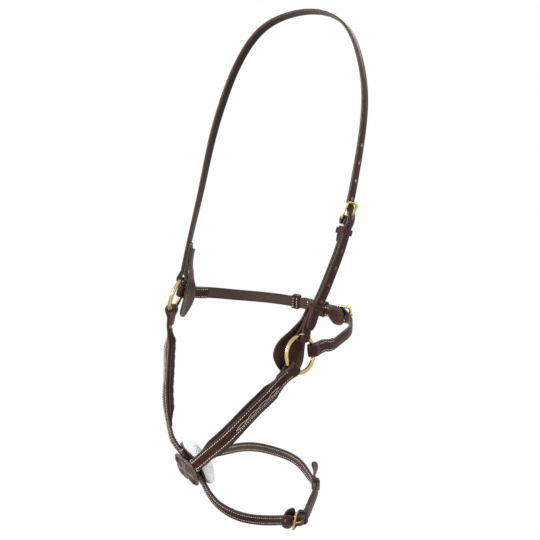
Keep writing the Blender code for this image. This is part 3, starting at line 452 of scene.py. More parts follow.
class Signal:
    def __init__(self, bench, socket):
        self.bench = bench
        self.socket = socket

    def math(self, kind, other, swapped=False):
        values = [other, self] if swapped else [self, other]
        return self.bench.node("ShaderNodeMath", {"operation": kind}, dict(enumerate(values)))

    def __add__(self, other):
        return self.math("ADD", other)

    def __radd__(self, other):
        return self.math("ADD", other, True)

    def __sub__(self, other):
        return self.math("SUBTRACT", other)

    def __rsub__(self, other):
        return self.math("SUBTRACT", other, True)

    def __mul__(self, other):
        return self.math("MULTIPLY", other)


class Bench:
    def __init__(self, name):
        self.material = bpy.data.materials.new(name)
        self.material.use_nodes = True
        self.tree = self.material.node_tree
        self.shader = self.tree.nodes["Principled BSDF"]
        self.place = self.node("ShaderNodeTexCoord", out=3)

    def node(self, kind, settings=None, values=None, out=0):
        made = self.tree.nodes.new(kind)
        for key, value in (settings or {}).items():
            setattr(made, key, value)
        for key, value in (values or {}).items():
            self.feed(made.inputs[key], value)
        return Signal(self, made.outputs[out])

    def feed(self, socket, value):
        if isinstance(value, Signal):
            self.tree.links.new(value.socket, socket)
        else:
            socket.default_value = value

    def noise(self, scale, detail=3.0, rough=0.55, stretch=None):
        where = self.place
        if stretch:
            where = self.node("ShaderNodeVectorMath", {"operation": "MULTIPLY"}, {0: where, 1: stretch})
        values = {"Vector": where, "Scale": scale, "Detail": detail, "Roughness": rough}
        return self.node("ShaderNodeTexNoise", None, values)

    def cells(self, scale, feature="F1"):
        return self.node("ShaderNodeTexVoronoi", {"feature": feature}, {"Vector": self.place, "Scale": scale})

    def clamp(self, value, low, high, toLow=0.0, toHigh=1.0):
        values = {0: value, 1: low, 2: high, 3: toLow, 4: toHigh}
        return self.node("ShaderNodeMapRange", {"clamp": True}, values)

    def mix(self, one, other, share):
        return self.node("ShaderNodeMix", {"data_type": "RGBA"}, {0: share, 6: one, 7: other}, out=2)

    def painted(self, name):
        return self.node("ShaderNodeAttribute", {"attribute_name": name}, out=2)

    def bump(self, height, depth, strength=1.0):
        values = {"Strength": strength, "Distance": depth, "Height": height}
        return self.node("ShaderNodeBump", None, values)

    def done(self, **sockets):
        for name, value in sockets.items():
            self.feed(self.shader.inputs[name.replace("_", " ")], value)
        return self.material


leatherLook = {
    "deep": (0.014, 0.0044, 0.0032, 1),
    "brown": (0.052, 0.0155, 0.0110, 1),
    "warm": (0.080, 0.0270, 0.0195, 1),
    # edge: a pale painted highlight for the rounded edges, crease grooves and rims
    "edge": (0.075, 0.052, 0.046, 1),
    # A painted shade for the head strap's inner face
    "innerShade": (0.010, 0.0062, 0.0052, 1),
    "flesh": (0.105, 0.070, 0.058, 1),
    "rough": 0.34,
    "shine": 0.09,
}


def leather(name, look, grainSize=900.0, grainDepth=0.00012):
    bench = Bench(name)
    clouds = bench.noise(38.0, 4.0)
    fine = bench.noise(240.0, 3.0, 0.6)
    grain = bench.cells(grainSize)
    pores = bench.cells(grainSize * 2.1, "DISTANCE_TO_EDGE")
    edge = bench.painted("edge")
    tone = bench.mix(look["brown"], look["warm"], bench.clamp(clouds, 0.42, 0.68))
    tone = bench.mix(tone, look["deep"], bench.clamp(fine, 0.60, 0.36, 0.0, 0.55))
    tone = bench.mix(tone, look["deep"], bench.clamp(grain, 0.45, 0.75, 0.0, 0.35))
    # Painted highlight: the pale edge colour wherever the edge paint is set, on bevels, grooves and rims, and
    # the rosette's pale marks
    tone = bench.mix(tone, look["edge"], edge * 0.8)
    # The inner faces: a painted shade on the one strap, bare flesh side on the others
    tone = bench.mix(tone, look["innerShade"], bench.clamp(edge, -0.05, -1.0, 0.0, 0.9))
    tone = bench.mix(tone, look["flesh"], bench.clamp(edge, 1.05, 2.0, 0.0, 0.9))
    height = (1 - grain) * 0.6 + bench.clamp(pores, 0.0, 0.12) * 0.35 + fine * 0.5
    creases = bench.bump(bench.noise(70.0, 3.0), 0.0006, 0.5)
    bump = bench.node("ShaderNodeBump", None, {"Distance": grainDepth, "Height": height, "Normal": creases})
    bench.shader.inputs["Specular IOR Level"].default_value = look["shine"]
    rough = look["rough"] + bench.clamp(clouds, 0.3, 0.7, -0.06, 0.10)
    rough = rough + bench.clamp(fine, 0.35, 0.65, -0.03, 0.05)
    return bench.done(
        Base_Color=tone,
        Roughness=rough - bench.clamp(edge, 0.0, 1.0) * 0.05,
        Normal=bump,
        Coat_Weight=look.get("coat", 0.05),
    )


def brass(name, bright, dark, rough):
    bench = Bench(name)
    tarnish = bench.clamp(bench.noise(60.0, 4.0), 0.45, 0.75)
    scratch = bench.noise(900.0, 2.0, 0.5, (1.0, 1.0, 0.12))
    tone = bench.mix(bright, dark, tarnish * 0.35)
    # Painted reflection: the colour goes darker where the surface turns away from the camera, as a dark
    # surround would show in polished metal; the noise above is tarnish
    facing = bench.node("ShaderNodeLayerWeight", None, {"Blend": 0.5}, out=1)
    tone = bench.mix(tone, dark, bench.clamp(facing, 0.22, 0.80, 0.0, 0.9))
    bump = bench.bump(scratch, 0.00003, 0.6)
    rough = rough + tarnish * 0.16 + bench.clamp(scratch, 0.4, 0.6, 0.0, 0.05)
    return bench.done(Base_Color=tone, Metallic=1.0, Roughness=rough, Normal=bump)


def thread(name, pale, shade):
    bench = Bench(name)
    twist = bench.noise(1500.0, 2.0)
    dirt = bench.clamp(bench.noise(90.0, 3.0), 0.45, 0.7)
    tone = bench.mix(pale, shade, dirt * 0.6)
    return bench.done(Base_Color=tone, Roughness=0.8, Normal=bench.bump(twist, 0.0001, 0.7))


def wool(name, pale, shade):
    bench = Bench(name)
    fuzz = bench.noise(1100.0, 3.0)
    clumps = bench.noise(160.0, 3.0)
    tone = bench.mix(pale, shade, bench.clamp(clumps, 0.40, 0.70) * 0.5)
    return bench.done(Base_Color=tone, Roughness=0.95, Normal=bench.bump(fuzz + clumps * 2, 0.0003, 0.4))


havana = leather("havana", leatherLook)
rosetteLook = {
    **leatherLook,
    "deep": (0.036, 0.022, 0.019, 1),
    "brown": (0.080, 0.050, 0.043, 1),
    "warm": (0.115, 0.076, 0.067, 1),
    # edge: the pale colour of the rosette's painted rim highlight and of its pale ridges
    "edge": (0.40, 0.315, 0.29, 1),
    "rough": 0.48,
    "coat": 0.02,
}
rosetteLeather = leather("rosetteHavana", rosetteLook, 700.0)
soft = {
    **leatherLook,
    "brown": (0.038, 0.025, 0.022, 1),
    "warm": (0.066, 0.048, 0.043, 1),
    "rough": 0.50,
    "coat": 0.0,
}
liningLeather = leather("liningLeather", soft, 600.0, 0.0002)
# The hole walls: the paler colour of cut leather, made paler still as painted light for the light seen
# through the holes
rawAndLitLook = {
    **soft,
    "deep": (0.38, 0.25, 0.21, 1),
    "brown": (0.60, 0.43, 0.38, 1),
    "warm": (0.70, 0.52, 0.46, 1),
    "edge": (0.60, 0.43, 0.38, 1),
    "rough": 0.7,
}
rawAndLitLeather = leather("rawAndLitLeather", rawAndLitLook, 700.0)
goldBrass = brass("yellowBrass", (0.60, 0.46, 0.19, 1), (0.13, 0.088, 0.028, 1), 0.21)
oldBrass = brass("darkBrass", (0.10, 0.075, 0.05, 1), (0.03, 0.022, 0.016, 1), 0.38)
creamThread = thread("creamThread", (0.84, 0.75, 0.71, 1), (0.60, 0.48, 0.43, 1))
creamWool = wool("creamWool", (0.96, 0.96, 0.95, 1), (0.92, 0.915, 0.90, 1))
print("materials ready")


# Meshes from rows of points


def added(name, data):
    thing = bpy.data.objects.new(name, data)
    bpy.context.scene.collection.objects.link(thing)
    return thing


def store(data, name, vectors):
    layer = data.attributes.new(name, "FLOAT_VECTOR", "POINT")
    layer.data.foreach_set("vector", np.array(vectors, np.float32).ravel())


def rowsToMesh(name, rows, closed=False, edge=None):
    rows = np.array(rows, float)
    count, around, _ = rows.shape
    spots = [tuple(p) for p in place(rows.reshape(-1, 3))]
    paint = list(np.tile(np.zeros(around) if edge is None else edge, count))
    faces = []
    for i in range(count if closed else count - 1):
        this, after = i * around, (i + 1) % count * around
        for j in range(around):
            k = (j + 1) % around
            faces.append((this + j, this + k, after + k, after + j))
    if not closed:
        for first, turned in ((0, True), ((count - 1) * around, False)):
            spots.append(tuple(place(rows[first // around].mean(axis=0))))
            # The middle of each end cap takes part of the painted edge highlight
            paint.append(0.6)
            middle = len(spots) - 1
            for j in range(around):
                pair = (first + j, first + (j + 1) % around)
                faces.append((*(pair[::-1] if turned else pair), middle))
    points = np.array(spots)
    volume = sum(np.dot(points[f[0]], np.cross(points[f[1]], points[f[2]])) for f in faces)
    volume += sum(np.dot(points[f[0]], np.cross(points[f[2]], points[f[3]])) for f in faces if len(f) == 4)
    if volume < 0:
        faces = [face[::-1] for face in faces]
    data = bpy.data.meshes.new(name)
    data.from_pydata(spots, [], faces)
    layer = data.attributes.new("edge", "FLOAT", "POINT")
    layer.data.foreach_set("value", np.array(paint, np.float32))
    data.shade_smooth()
    return added(name, data)


def dress(piece, finish, *nodes, body=None):
    if finish.name not in piece.data.materials:
        piece.data.materials.clear()
        piece.data.materials.append(finish)
    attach(piece, body or bodyOf[nodes[0]])
    if nodes:
        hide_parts(*nodes)
    return piece


def sweep(name, spots, radius, sides, closed=False):
    spots = np.array(spots, float)
    ahead = np.roll(spots, -1, axis=0) - np.roll(spots, 1, axis=0) if closed else np.gradient(spots, axis=0)
    ahead /= lengthsOf(ahead)[:, None]
    up = unit(np.cross(ahead[0], ahead[len(ahead) // 3] + vec(0.01, 0.02, 0.03)))
    radii = np.broadcast_to(radius, len(spots))
    rows = []
    for spot, heading, reach in zip(spots, ahead, radii):
        up = unit(up - up.dot(heading) * heading)
        side = np.cross(heading, up)
        turns = [2 * math.pi * i / sides for i in range(sides)]
        rows.append([spot + reach * (math.cos(t) * up + math.sin(t) * side) for t in turns])
    return rowsToMesh(name, rows, closed)


def fineLine(spots, step=0.5):
    # A smooth line through the spots, at an even spacing
    points = np.array(spots, float)
    knots = reachedAt(points)
    count = max(4, int(knots[-1] / step))
    return spline(knots, points, np.linspace(0, knots[-1], count + 1))


def evenly(spots, step):
    # A closed line through the spots, with straight pieces of about one step
    fine = []
    for one, other in zip(spots, spots[1:] + spots[:1]):
        one, other = np.array(one), np.array(other)
        steps = max(1, int(np.linalg.norm((other - one)[0] if one.ndim > 1 else other - one) / step))
        fine += [one + (other - one) * i / steps for i in range(steps)]
    return fine


def roundCorners(reach, rise):
    # The four corners of a rectangle, each with the turns of a quarter circle
    for quarter, (x, y) in enumerate([(1, 1), (-1, 1), (-1, -1), (1, -1)]):
        for step in range(0, 91, 15):
            yield x * reach, y * rise, math.radians(90 * quarter + step)


# The length over which a strap's cut end is thinned
thinning = {"head": 10.0, "other": 9.0}


class Strap:
    def __init__(self, route, path, width, thickness, taperEnds=(0.0, 0.0)):
        self.s = np.array([s for s, _ in path])
        frames = [route.frame(s) for s in self.s]
        self.middle = np.array([f[0] + b * f[2] for f, (_, b) in zip(frames, path)])
        self.side = np.array([f[3] for f in frames])
        self.reached = reachedAt(self.middle)
        self.total = self.reached[-1]
        self.ahead = np.gradient(self.middle, self.reached, axis=0)
        self.ahead /= lengthsOf(self.ahead)[:, None]
        half = len(path) // 2
        self.grain = 1 if path[half + 1][0] > path[half][0] else -1
        self.out = np.cross(self.side, self.ahead) * self.grain
        self.out /= lengthsOf(self.out)[:, None]
        self.width = np.array([width(d, self.total) if callable(width) else width for d in self.reached])
        self.thickness = thickness
        self.height = np.full(len(path), float(thickness))
        for taper, left in zip(taperEnds, (self.reached, self.total - self.reached)):
            if taper:
                thin = np.array([ease(d / taper) for d in left])
                self.height = np.minimum(self.height, thickness * (0.5 + 0.5 * thin))

    def at(self, distance, across, face=1, lift=0.0):
        read = lambda table: np.array([np.interp(distance, self.reached, table[:, k]) for k in range(3)])
        out = unit(read(self.out))
        top = np.interp(distance, self.reached, self.height) - self.thickness / 2
        level = top + lift if face > 0 else -self.thickness / 2 - lift
        return read(self.middle) + across * unit(read(self.side)) + level * out, out * face

    def distanceOf(self, spot):
        return self.reached[int(np.argmin(lengthsOf(self.middle - spot)))]

    def build(self, name, groove=2.3, depth=0.35, crown=0.25, inside=0.0):
        full = self.width.max() / 2
        round_ = min(0.9, self.thickness * 0.34)
        turns = [math.radians(a) for a in (0, 25, 50, 72, 90)]
        # The last value of each spot is its paint: 1 on the rounded corners, and most of 1 in the crease
        # groove, takes the painted edge highlight; inside paints the inner face, below 0 with painted shade,
        # over 1 as the bare flesh side
        grain = [(round_ * (1 - math.cos(a)), round_ * (1 - math.sin(a)), 1.0) for a in turns]
        grain += [(groove - 0.45, 0.0, 0.25), (groove, depth, 0.7), (groove + 0.45, 0.0, 0.1)]
        inner = (full + groove) / 2
        grain += [(inner, -crown * 0.75, 0.0), (full, -crown, 0.0)]
        flesh = [(round_ * (1 - math.cos(a)), round_ * (1 - math.sin(a)), 1.0) for a in turns[1:]]
        flesh += [(full * 0.5, 0.0, inside), (full, 0.0, inside)]
        lay = [(1, 1, *spot) for spot in grain] + [(-1, 1, *spot) for spot in grain[-2::-1]]
        lay += [(-1, -1, *spot) for spot in flesh] + [(1, -1, *spot) for spot in flesh[-2::-1]]
        rows = []
        for i in range(len(self.reached)):
            squeeze = self.width[i] / 2 / full
            top = self.height[i] - self.thickness / 2
            row = []
            for hand, face, d, drop, _ in lay:
                across = hand * (full - d) * squeeze
                level = top - drop * min(1.0, squeeze * 1.5) if face > 0 else -self.thickness / 2 + drop
                row.append(self.middle[i] + across * self.side[i] + level * self.out[i])
            rows.append(np.array(row))
        for end, inward in ((0, 1), (-1, -1)):
            centre = rows[end].mean(axis=0)
            shrunk = centre + (rows[end] - centre) * 0.9
            rows[end] = rows[end] + inward * 0.35 * self.ahead[end]
            rows.insert(0 if end == 0 else len(rows), shrunk)
        return rowsToMesh(name, rows, edge=np.array([paint for *_, paint in lay]))


# Geometry nodes: stitches, punched holes and wool


class Patch:
    def __init__(self, name, sizes):
        self.tree = bpy.data.node_groups.new(name, "GeometryNodeTree")
        face = self.tree.interface
        face.new_socket("Geometry", in_out="INPUT", socket_type="NodeSocketGeometry")
        self.sizes = {}
        for key, (kind, value) in sizes.items():
            socket = face.new_socket(key, in_out="INPUT", socket_type="NodeSocket" + kind)
            if value is not None:
                socket.default_value = value
            self.sizes[key] = socket.identifier
        face.new_socket("Geometry", in_out="OUTPUT", socket_type="NodeSocketGeometry")
        self.source = self.tree.nodes.new("NodeGroupInput")
        self.sink = self.tree.nodes.new("NodeGroupOutput")

    def given(self, key="Geometry"):
        return self.source.outputs[key]

    def node(self, kind, settings=None, values=None, out=0):
        made = self.tree.nodes.new(kind)
        for key, value in (settings or {}).items():
            setattr(made, key, value)
        for key, value in (values or {}).items():
            for one in value if isinstance(value, list) else [value]:
                if isinstance(one, bpy.types.NodeSocket):
                    self.tree.links.new(one, made.inputs[key])
                else:
                    made.inputs[key].default_value = one
        return made.outputs[out]

    def painted(self, name):
        return self.node("GeometryNodeInputNamedAttribute", {"data_type": "FLOAT_VECTOR"}, {"Name": name})

    def finish(self, geometry, material):
        whole = self.node("GeometryNodeRealizeInstances", None, {0: geometry})
        if material:
            whole = self.node("GeometryNodeSetMaterial", None, {0: whole, "Material": material})
        self.tree.links.new(whole, self.sink.inputs[0])

    def apply(self, piece, **values):
        modifier = piece.modifiers.new("work", "NODES")
        modifier.node_group = self.tree
        for key, value in values.items():
            modifier[self.sizes[key]] = value
        made = bpy.data.meshes.new_from_object(piece.evaluated_get(bpy.context.evaluated_depsgraph_get()))
        piece.modifiers.clear()
        piece.data = made
        return piece


def stitchPatch():
    sizes = {
        "spacing": ("Float", 3.3 * mm),
        "length": ("Float", 2.75 * mm),
        "width": ("Float", 1.05 * mm),
        "height": ("Float", 0.7 * mm),
        "slant": ("Float", 0.12),
        "seed": ("Int", 4),
    }
    patch = Patch("stitchRow", sizes)
    curve = patch.node("GeometryNodeMeshToCurve", None, {0: patch.given()})
    curve = patch.node(
        "GeometryNodeResampleCurve", {"mode": "LENGTH"}, {"Curve": curve, "Length": patch.given("spacing")}
    )
    knot = patch.node("GeometryNodeMeshUVSphere", None, {"Segments": 7, "Rings": 5, "Radius": 0.5})
    values = {i: patch.given(key) for i, key in enumerate(("length", "width", "height"))}
    size = patch.node("ShaderNodeCombineXYZ", None, values)
    knot = patch.node("GeometryNodeTransform", None, {0: knot, "Scale": size})
    knot = patch.node("GeometryNodeSetShadeSmooth", None, {0: knot})
    face = patch.painted("face")
    tangent = patch.node("GeometryNodeInputTangent")
    side = patch.node("ShaderNodeVectorMath", {"operation": "CROSS_PRODUCT"}, {0: face, 1: tangent})
    side = patch.node(
        "ShaderNodeVectorMath", {"operation": "SCALE"}, {0: side, "Scale": patch.given("slant")}
    )
    ahead = patch.node("ShaderNodeVectorMath", {"operation": "ADD"}, {0: tangent, 1: side})
    axes = {"primary_axis": "Z", "secondary_axis": "X"}
    turn = patch.node("FunctionNodeAxesToRotation", axes, {0: face, 1: ahead})
    vary = patch.node(
        "FunctionNodeRandomValue", {"data_type": "FLOAT"}, {2: 0.9, 3: 1.08, "Seed": patch.given("seed")}, 1
    )
    values = {"Points": curve, "Instance": knot, "Rotation": turn, "Scale": vary}
    patch.finish(patch.node("GeometryNodeInstanceOnPoints", None, values), creamThread)
    return patch


def holePatch():
    sizes = {"holes": ("Object", None), "width": ("Float", 3.4 * mm), "depth": ("Float", 14 * mm)}
    patch = Patch("punchedHoles", sizes)
    spots = patch.node("GeometryNodeObjectInfo", None, {"Object": patch.given("holes")}, out=4)
    radius = patch.node("ShaderNodeMath", {"operation": "MULTIPLY"}, {0: patch.given("width"), 1: 0.5})
    punch = patch.node(
        "GeometryNodeMeshCylinder", None, {"Vertices": 20, "Radius": radius, "Depth": patch.given("depth")}
    )
    axes = {"primary_axis": "Z", "secondary_axis": "X"}
    turn = patch.node(
        "FunctionNodeAxesToRotation", axes, {0: patch.painted("face"), 1: patch.painted("ahead")}
    )
    values = {"Points": spots, "Instance": punch, "Rotation": turn, "Scale": patch.painted("stretch")}
    punches = patch.node("GeometryNodeInstanceOnPoints", None, values)
    punches = patch.node("GeometryNodeRealizeInstances", None, {0: punches})
    # The hole walls take the cut leather colour with its painted light
    punches = patch.node("GeometryNodeSetMaterial", None, {0: punches, "Material": rawAndLitLeather})
    values = {"Mesh 1": patch.given(), "Mesh 2": punches}
    cut = patch.node("GeometryNodeMeshBoolean", {"operation": "DIFFERENCE", "solver": "EXACT"}, values)
    patch.finish(cut, None)
    return patch


def woolPatch():
    sizes = {
        "density": ("Float", 1200000.0),
        "length": ("Float", 0.8 * mm),
        "width": ("Float", 1.1 * mm),
        "seed": ("Int", 7),
    }
    patch = Patch("woolPile", sizes)
    values = {"Mesh": patch.given(), "Density": patch.given("density"), "Seed": patch.given("seed")}
    scatter = patch.node("GeometryNodeDistributePointsOnFaces", None, values).node
    values = {"Vertices": 5, "Side Segments": 1, "Radius Top": 0.0002, "Radius Bottom": patch.given("width")}
    lock = patch.node("GeometryNodeMeshCone", None, {**values, "Depth": patch.given("length")})
    lean = patch.node(
        "FunctionNodeRandomValue",
        {"data_type": "FLOAT_VECTOR"},
        {0: (-0.25, -0.25, -0.25), 1: (0.25, 0.25, 0.25), "Seed": 3},
    )
    towards = patch.node(
        "ShaderNodeVectorMath", {"operation": "ADD"}, {0: scatter.outputs["Normal"], 1: lean}
    )
    turn = patch.node("FunctionNodeAlignRotationToVector", {"axis": "Z"}, {"Vector": towards})
    size = patch.node("FunctionNodeRandomValue", {"data_type": "FLOAT"}, {2: 0.6, 3: 1.25, "Seed": 5}, 1)
    values = {"Points": scatter.outputs["Points"], "Instance": lock, "Rotation": turn, "Scale": size}
    pile = patch.node("GeometryNodeInstanceOnPoints", None, values)
    whole = patch.node("GeometryNodeJoinGeometry", None, {0: [patch.given(), pile]})
    patch.finish(whole, creamWool)
    return patch


stitchRow = stitchPatch()
punchedHoles = holePatch()
woolPile = woolPatch()
seams = {}


def seam(kind, line):
    # One row of stitches: spots in millimetres with the way that the leather faces there
    seams.setdefault(kind, []).append(line)


# "end" is how far a row of stitches keeps from the strap's cut end. Lift is how far a stitch lies above the
# leather: rows in a groove are sunk.
stitchSizes = {"step": 1.2, "edgeInset": 2.3, "end": 3.0}
stitchLift = {"grooved": -0.12, "flesh": 0.08, "across": 0.05, "lattice": 0.22}


def edgeRows(kind, strap, across, *spans):
    # A row along each edge of the outer face, for each span
    for hand in (-1, 1):
        for start, stop in spans:
            count = max(2, int(abs(stop - start) / stitchSizes["step"]))
            distances = [start + (stop - start) * i / count for i in range(count + 1)]
            seam(kind, [strap.at(d, hand * across, 1, stitchLift["grooved"]) for d in distances])


def crossRow(kind, strap, distance, reach):
    seam(kind, [strap.at(distance, reach * (2 * i / 8 - 1), 1, stitchLift["across"]) for i in range(9)])


seamKinds = {
    "headpiece": ("headStitches", "headpiece", {}),
    "jaw_piece": ("jawStitches", "jaw_piece", {}),
    "nosepiece": ("noseStitches", "nosepiece", {}),
    "lattice": ("latticeStitches", "nosepiece", {"spacing": 2.0 * mm, "length": 2.3 * mm, "width": 0.7 * mm}),
}


def sewSeams():
    for kind, lines in seams.items():
        name, body, sizes = seamKinds[kind]
        spots, faces, edges = [], [], []
        for line in lines:
            start = len(spots)
            spots += [tuple(place(spot)) for spot, _ in line]
            faces += [way for _, way in line]
            edges += [(start + i, start + i + 1) for i in range(len(line) - 1)]
        data = bpy.data.meshes.new(name)
        data.from_pydata(spots, edges, [])
        store(data, "face", faces)
        piece = added(name, data)
        stitchRow.apply(piece, **sizes)
        dress(piece, creamThread, body=body)
        print(name, len(piece.data.polygons), "faces")


def punch(piece, spots, width):
    # Each spot: middle, way through, way along, stretch
    data = bpy.data.meshes.new("holes")
    data.from_pydata([tuple(place(spot)) for spot, *_ in spots], [], [])
    for key, k in (("face", 1), ("ahead", 2), ("stretch", 3)):
        store(data, key, [spot[k] for spot in spots])
    holes = added("holes", data)
    bpy.context.view_layer.update()
    piece.data.materials.append(havana)
    punchedHoles.apply(piece, holes=holes, width=width * mm)
    bpy.data.objects.remove(holes)
    piece.data.shade_smooth()
    piece.data.set_sharp_from_angle(angle=math.radians(48))


# Buckles


class Buckle:
    def __init__(self, route, at, facing, width, foldThickness, billetThickness):
        size = buckleSizes
        self.at = at
        self.facing = facing
        self.width = width
        self.lean = math.asin(size["rise"] / size["length"])
        self.under = size["wire"] / 2 + play["bar"] + billetThickness / 2
        self.over = barRadius(foldThickness) + foldThickness / 2 + 2 * play["layer"] + billetThickness / 2
        self.bar, tangent, normal, self.side = route.frame(at)
        tangent = tangent * facing
        self.ahead = math.cos(self.lean) * tangent + math.sin(self.lean) * normal
        self.out = math.cos(self.lean) * normal - math.sin(self.lean) * tangent

    def local(self, ahead, out, across=0.0):
        return self.bar + ahead * self.ahead + out * self.out + across * self.side

    def level(self, ahead, out):
        along = ahead * math.cos(self.lean) - out * math.sin(self.lean)
        return self.at + self.facing * along, ahead * math.sin(self.lean) + out * math.cos(self.lean)

    def billetKnots(self):
        nearBar = self.at + self.facing * 2.0
        pastBar = self.at - self.facing * 2.0
        return [self.level(buckleSizes["length"], -self.under), (nearBar, self.over), (pastBar, self.over)]

    def around(self, half):
        corner = buckleSizes["corner"]
        middle = buckleSizes["length"] / 2
        spots = []
        for x, y, turn in roundCorners(middle - corner, half - corner):
            ahead = middle + x + corner * math.cos(turn)
            spots.append(self.local(ahead, 0, y + corner * math.sin(turn)))
        return spots

    def tongueLine(self):
        eye = buckleSizes["wire"] / 2 + play["bar"] + buckleSizes["tongue"] / 2
        rest = buckleSizes["wire"] / 2 + play["layer"] + buckleSizes["tongue"] / 2
        hump, reach = buckleSizes["hump"], buckleSizes["length"]
        line = []
        for degrees in range(-25, -271, -27):
            turn = math.radians(degrees)
            line.append((eye * math.cos(turn), eye * math.sin(turn)))
        line[-1] = (0.0, eye)
        line += [(3.5, eye), (6.0, eye + 0.3 * hump), (9.0, eye + 0.85 * hump)]
        line += [(12.0, eye + hump), (16.0, rest + 0.5 * hump), (reach, rest)]
        return line + [(reach + 2.5, rest - 0.8)]

    def make(self, name, frameNode, tongueNode):
        half = self.width / 2 + buckleSizes["sidePlay"] + buckleSizes["wire"] / 2
        spots = evenly(self.around(half), 1.2)
        dress(sweep(name + "Frame", spots, buckleSizes["wire"] / 2, 18, True), goldBrass, frameNode)
        line = fineLine([self.local(a, o) for a, o in self.tongueLine()])
        radii = np.full(len(line), buckleSizes["tongue"] / 2)
        tail = np.arange(6)
        radii[-6:] *= np.sqrt(np.clip(1 - (tail / 5.6) ** 2, 0.05, 1))
        radii[:3] *= (0.6, 0.85, 0.97)
        dress(sweep(name + "Tongue", line, radii, 16), goldBrass, tongueNode)

    def cutSlot(self, piece):
        # The opening in the fold that the tongue comes out of
        reach = 2 * self.over
        stretch = (1.7 * reach / holeSizes["slot"], 1, 1)
        punch(piece, [(self.local(0.2 * reach, 0.0), self.out, self.ahead, stretch)], holeSizes["slot"])

    def tongueHole(self, strap):
        shaft = fineLine([self.local(a, o) for a, o in self.tongueLine()[-8:]])
        low, high = sorted((self.at, self.at + self.facing * buckleSizes["length"]))
        near = [i for i in range(len(strap.reached)) if low + 3 < strap.s[i] < high - 3]
        best = min(near, key=lambda i: lengthsOf(shaft - strap.middle[i]).min())
        return strap.reached[best]


holeSizes = {"slot": 3.8, "billet": 4.0, "drawnLong": 2.5, "drawnWide": 1.1}


def foldedStrap(name, node, route, folds, width, thick, buckle, **look):
    # A strap turned back at both ends, with the slot for its buckle's tongue
    near, far = folds
    path = joined(near, run([near[-1], far[-1]]), far[::-1])
    strap = Strap(route, path, width, thick, 2 * (thinning["other"],))
    piece = strap.build(name, **look)
    buckle.cutSlot(piece)
    dress(piece, havana, node)
    return strap, strap.reached[len(near) - 1], strap.total - strap.reached[len(far) - 1]


def punchedStrap(name, node, strap, buckle, steps, pitch, width=holeSizes["billet"], **look):
    # A row of holes; the one that the tongue is through has been drawn long
    piece = strap.build(name, **look)
    first = buckle.tongueHole(strap)
    spots = []
    for step in steps:
        spot, face = strap.at(first + step * pitch, 0.0, 1, -strap.thickness / 2)
        ahead = strap.at(first + step * pitch + 0.5, 0.0)[0] - strap.at(first + step * pitch - 0.5, 0.0)[0]
        stretch = (holeSizes["drawnLong"], holeSizes["drawnWide"], 1) if step == 0 else (1, 1, 1)
        spots.append((spot, face, unit(ahead), stretch))
    punch(piece, spots, width)
    dress(piece, havana, node)
    return first


keeperSizes = {"thickness": 1.6, "corner": 1.5, "short": 7.0, "middle": 8.0, "long": 10.0}


def keeperBand(name, node, route, at, low, high, width, length, joins=()):
    # A band round the straps between the levels low and high; joins are where it is sewn to them
    point, tangent, normal, side = route.frame(at)
    thick, corner = keeperSizes["thickness"], keeperSizes["corner"]
    grow = play["keeper"] + thick / 2
    half, low, high = width / 2 + grow, low - grow, high + grow
    middle, reach = (low + high) / 2, (high - low) / 2 - corner
    rows = []
    section = [(-0.5, -0.2), (-0.5, 0.2), (-0.43, 0.5), (-0.30, 0.5), (-0.25, 0.36), (-0.20, 0.5), (0, 0.56)]
    section += [(-x, y) for x, y in section[-2::-1]]
    section += [(0.43, -0.38), (0, -0.42), (-0.43, -0.38)]
    for x, y, turn in roundCorners(half - corner, reach):
        across = x + corner * math.cos(turn)
        out = middle + y + corner * math.sin(turn)
        way = math.cos(turn) * side + math.sin(turn) * normal
        centre = point + across * side + out * normal
        rows.append([centre + u * length * tangent + v * thick * way for u, v in section])
    # Paint: the painted edge highlight on the band's rounded sides, and less of it on its crease lines
    edge = np.array([0.9 if abs(x) > 0.4 else 0.35 if abs(x) > 0.22 else 0.0 for x, _ in section])
    dress(rowsToMesh(name, evenly(rows, 1.5), closed=True, edge=edge), havana, node)
    for u in joins:
        start = point + (low - thick / 2 - 0.1) * normal + u * tangent
        seam(bodyOf[node], [(start + width * 0.38 * (i / 4 - 1) * side, -normal) for i in range(9)])


threadSizes = {"radius": 0.4, "spread": 0.75}


def edgeStitch(name, body, strap, distance, hand, thick, strands=1):
    # Threads that wrap the edge of the strap, from its outer face round to its inner one
    pieces = []
    spot, out = strap.at(distance, 0.0)
    i = int(np.argmin(abs(strap.reached - distance)))
    side, ahead = strap.side[i] * hand, strap.ahead[i]
    half = strap.width[i] / 2
    outside = [(half - 2.4, -0.25), (half - 1.2, 0.12), (half - 0.15, 0.02), (half + 0.22, -0.8)]
    wrap = outside + [(across, -thick - level) for across, level in outside[::-1]]
    for n in range(strands):
        shift = (n - (strands - 1) / 2) * threadSizes["spread"]
        line = [spot + across * side + level * out + shift * ahead for across, level in wrap]
        pieces.append(sweep(name, fineLine(line), threadSizes["radius"], 8))
    mesh = bmesh.new()
    for piece in pieces:
        mesh.from_mesh(piece.data)
    for piece in pieces[1:]:
        bpy.data.objects.remove(piece)
    mesh.to_mesh(pieces[0].data)
    mesh.free()
    pieces[0].name = name
    dress(pieces[0], creamThread, body=body)


# Rings, a little thinner than the solid ones, so that they stay clear of the loops round them

ringThinner = 0.12
for name, node, ring in (("nearRing", "near_ring", nearRing), ("offRing", "off_ring", offRing)):
    circle = [ring.wire(360 * i / 128) for i in range(128)]
    dress(sweep(name, circle, ringSizes["wire"] / 2 - ringThinner, 24, True), goldBrass, node)


# Head strap and cheek strap; each span of stitches stops short of the strap's loop

# The paint of each strap's inner face: below 0 a painted shade on the head strap, over 1 bare flesh side
innerPaint = {"head": -1.0, "jaw": 1.6, "nose": 2.0}


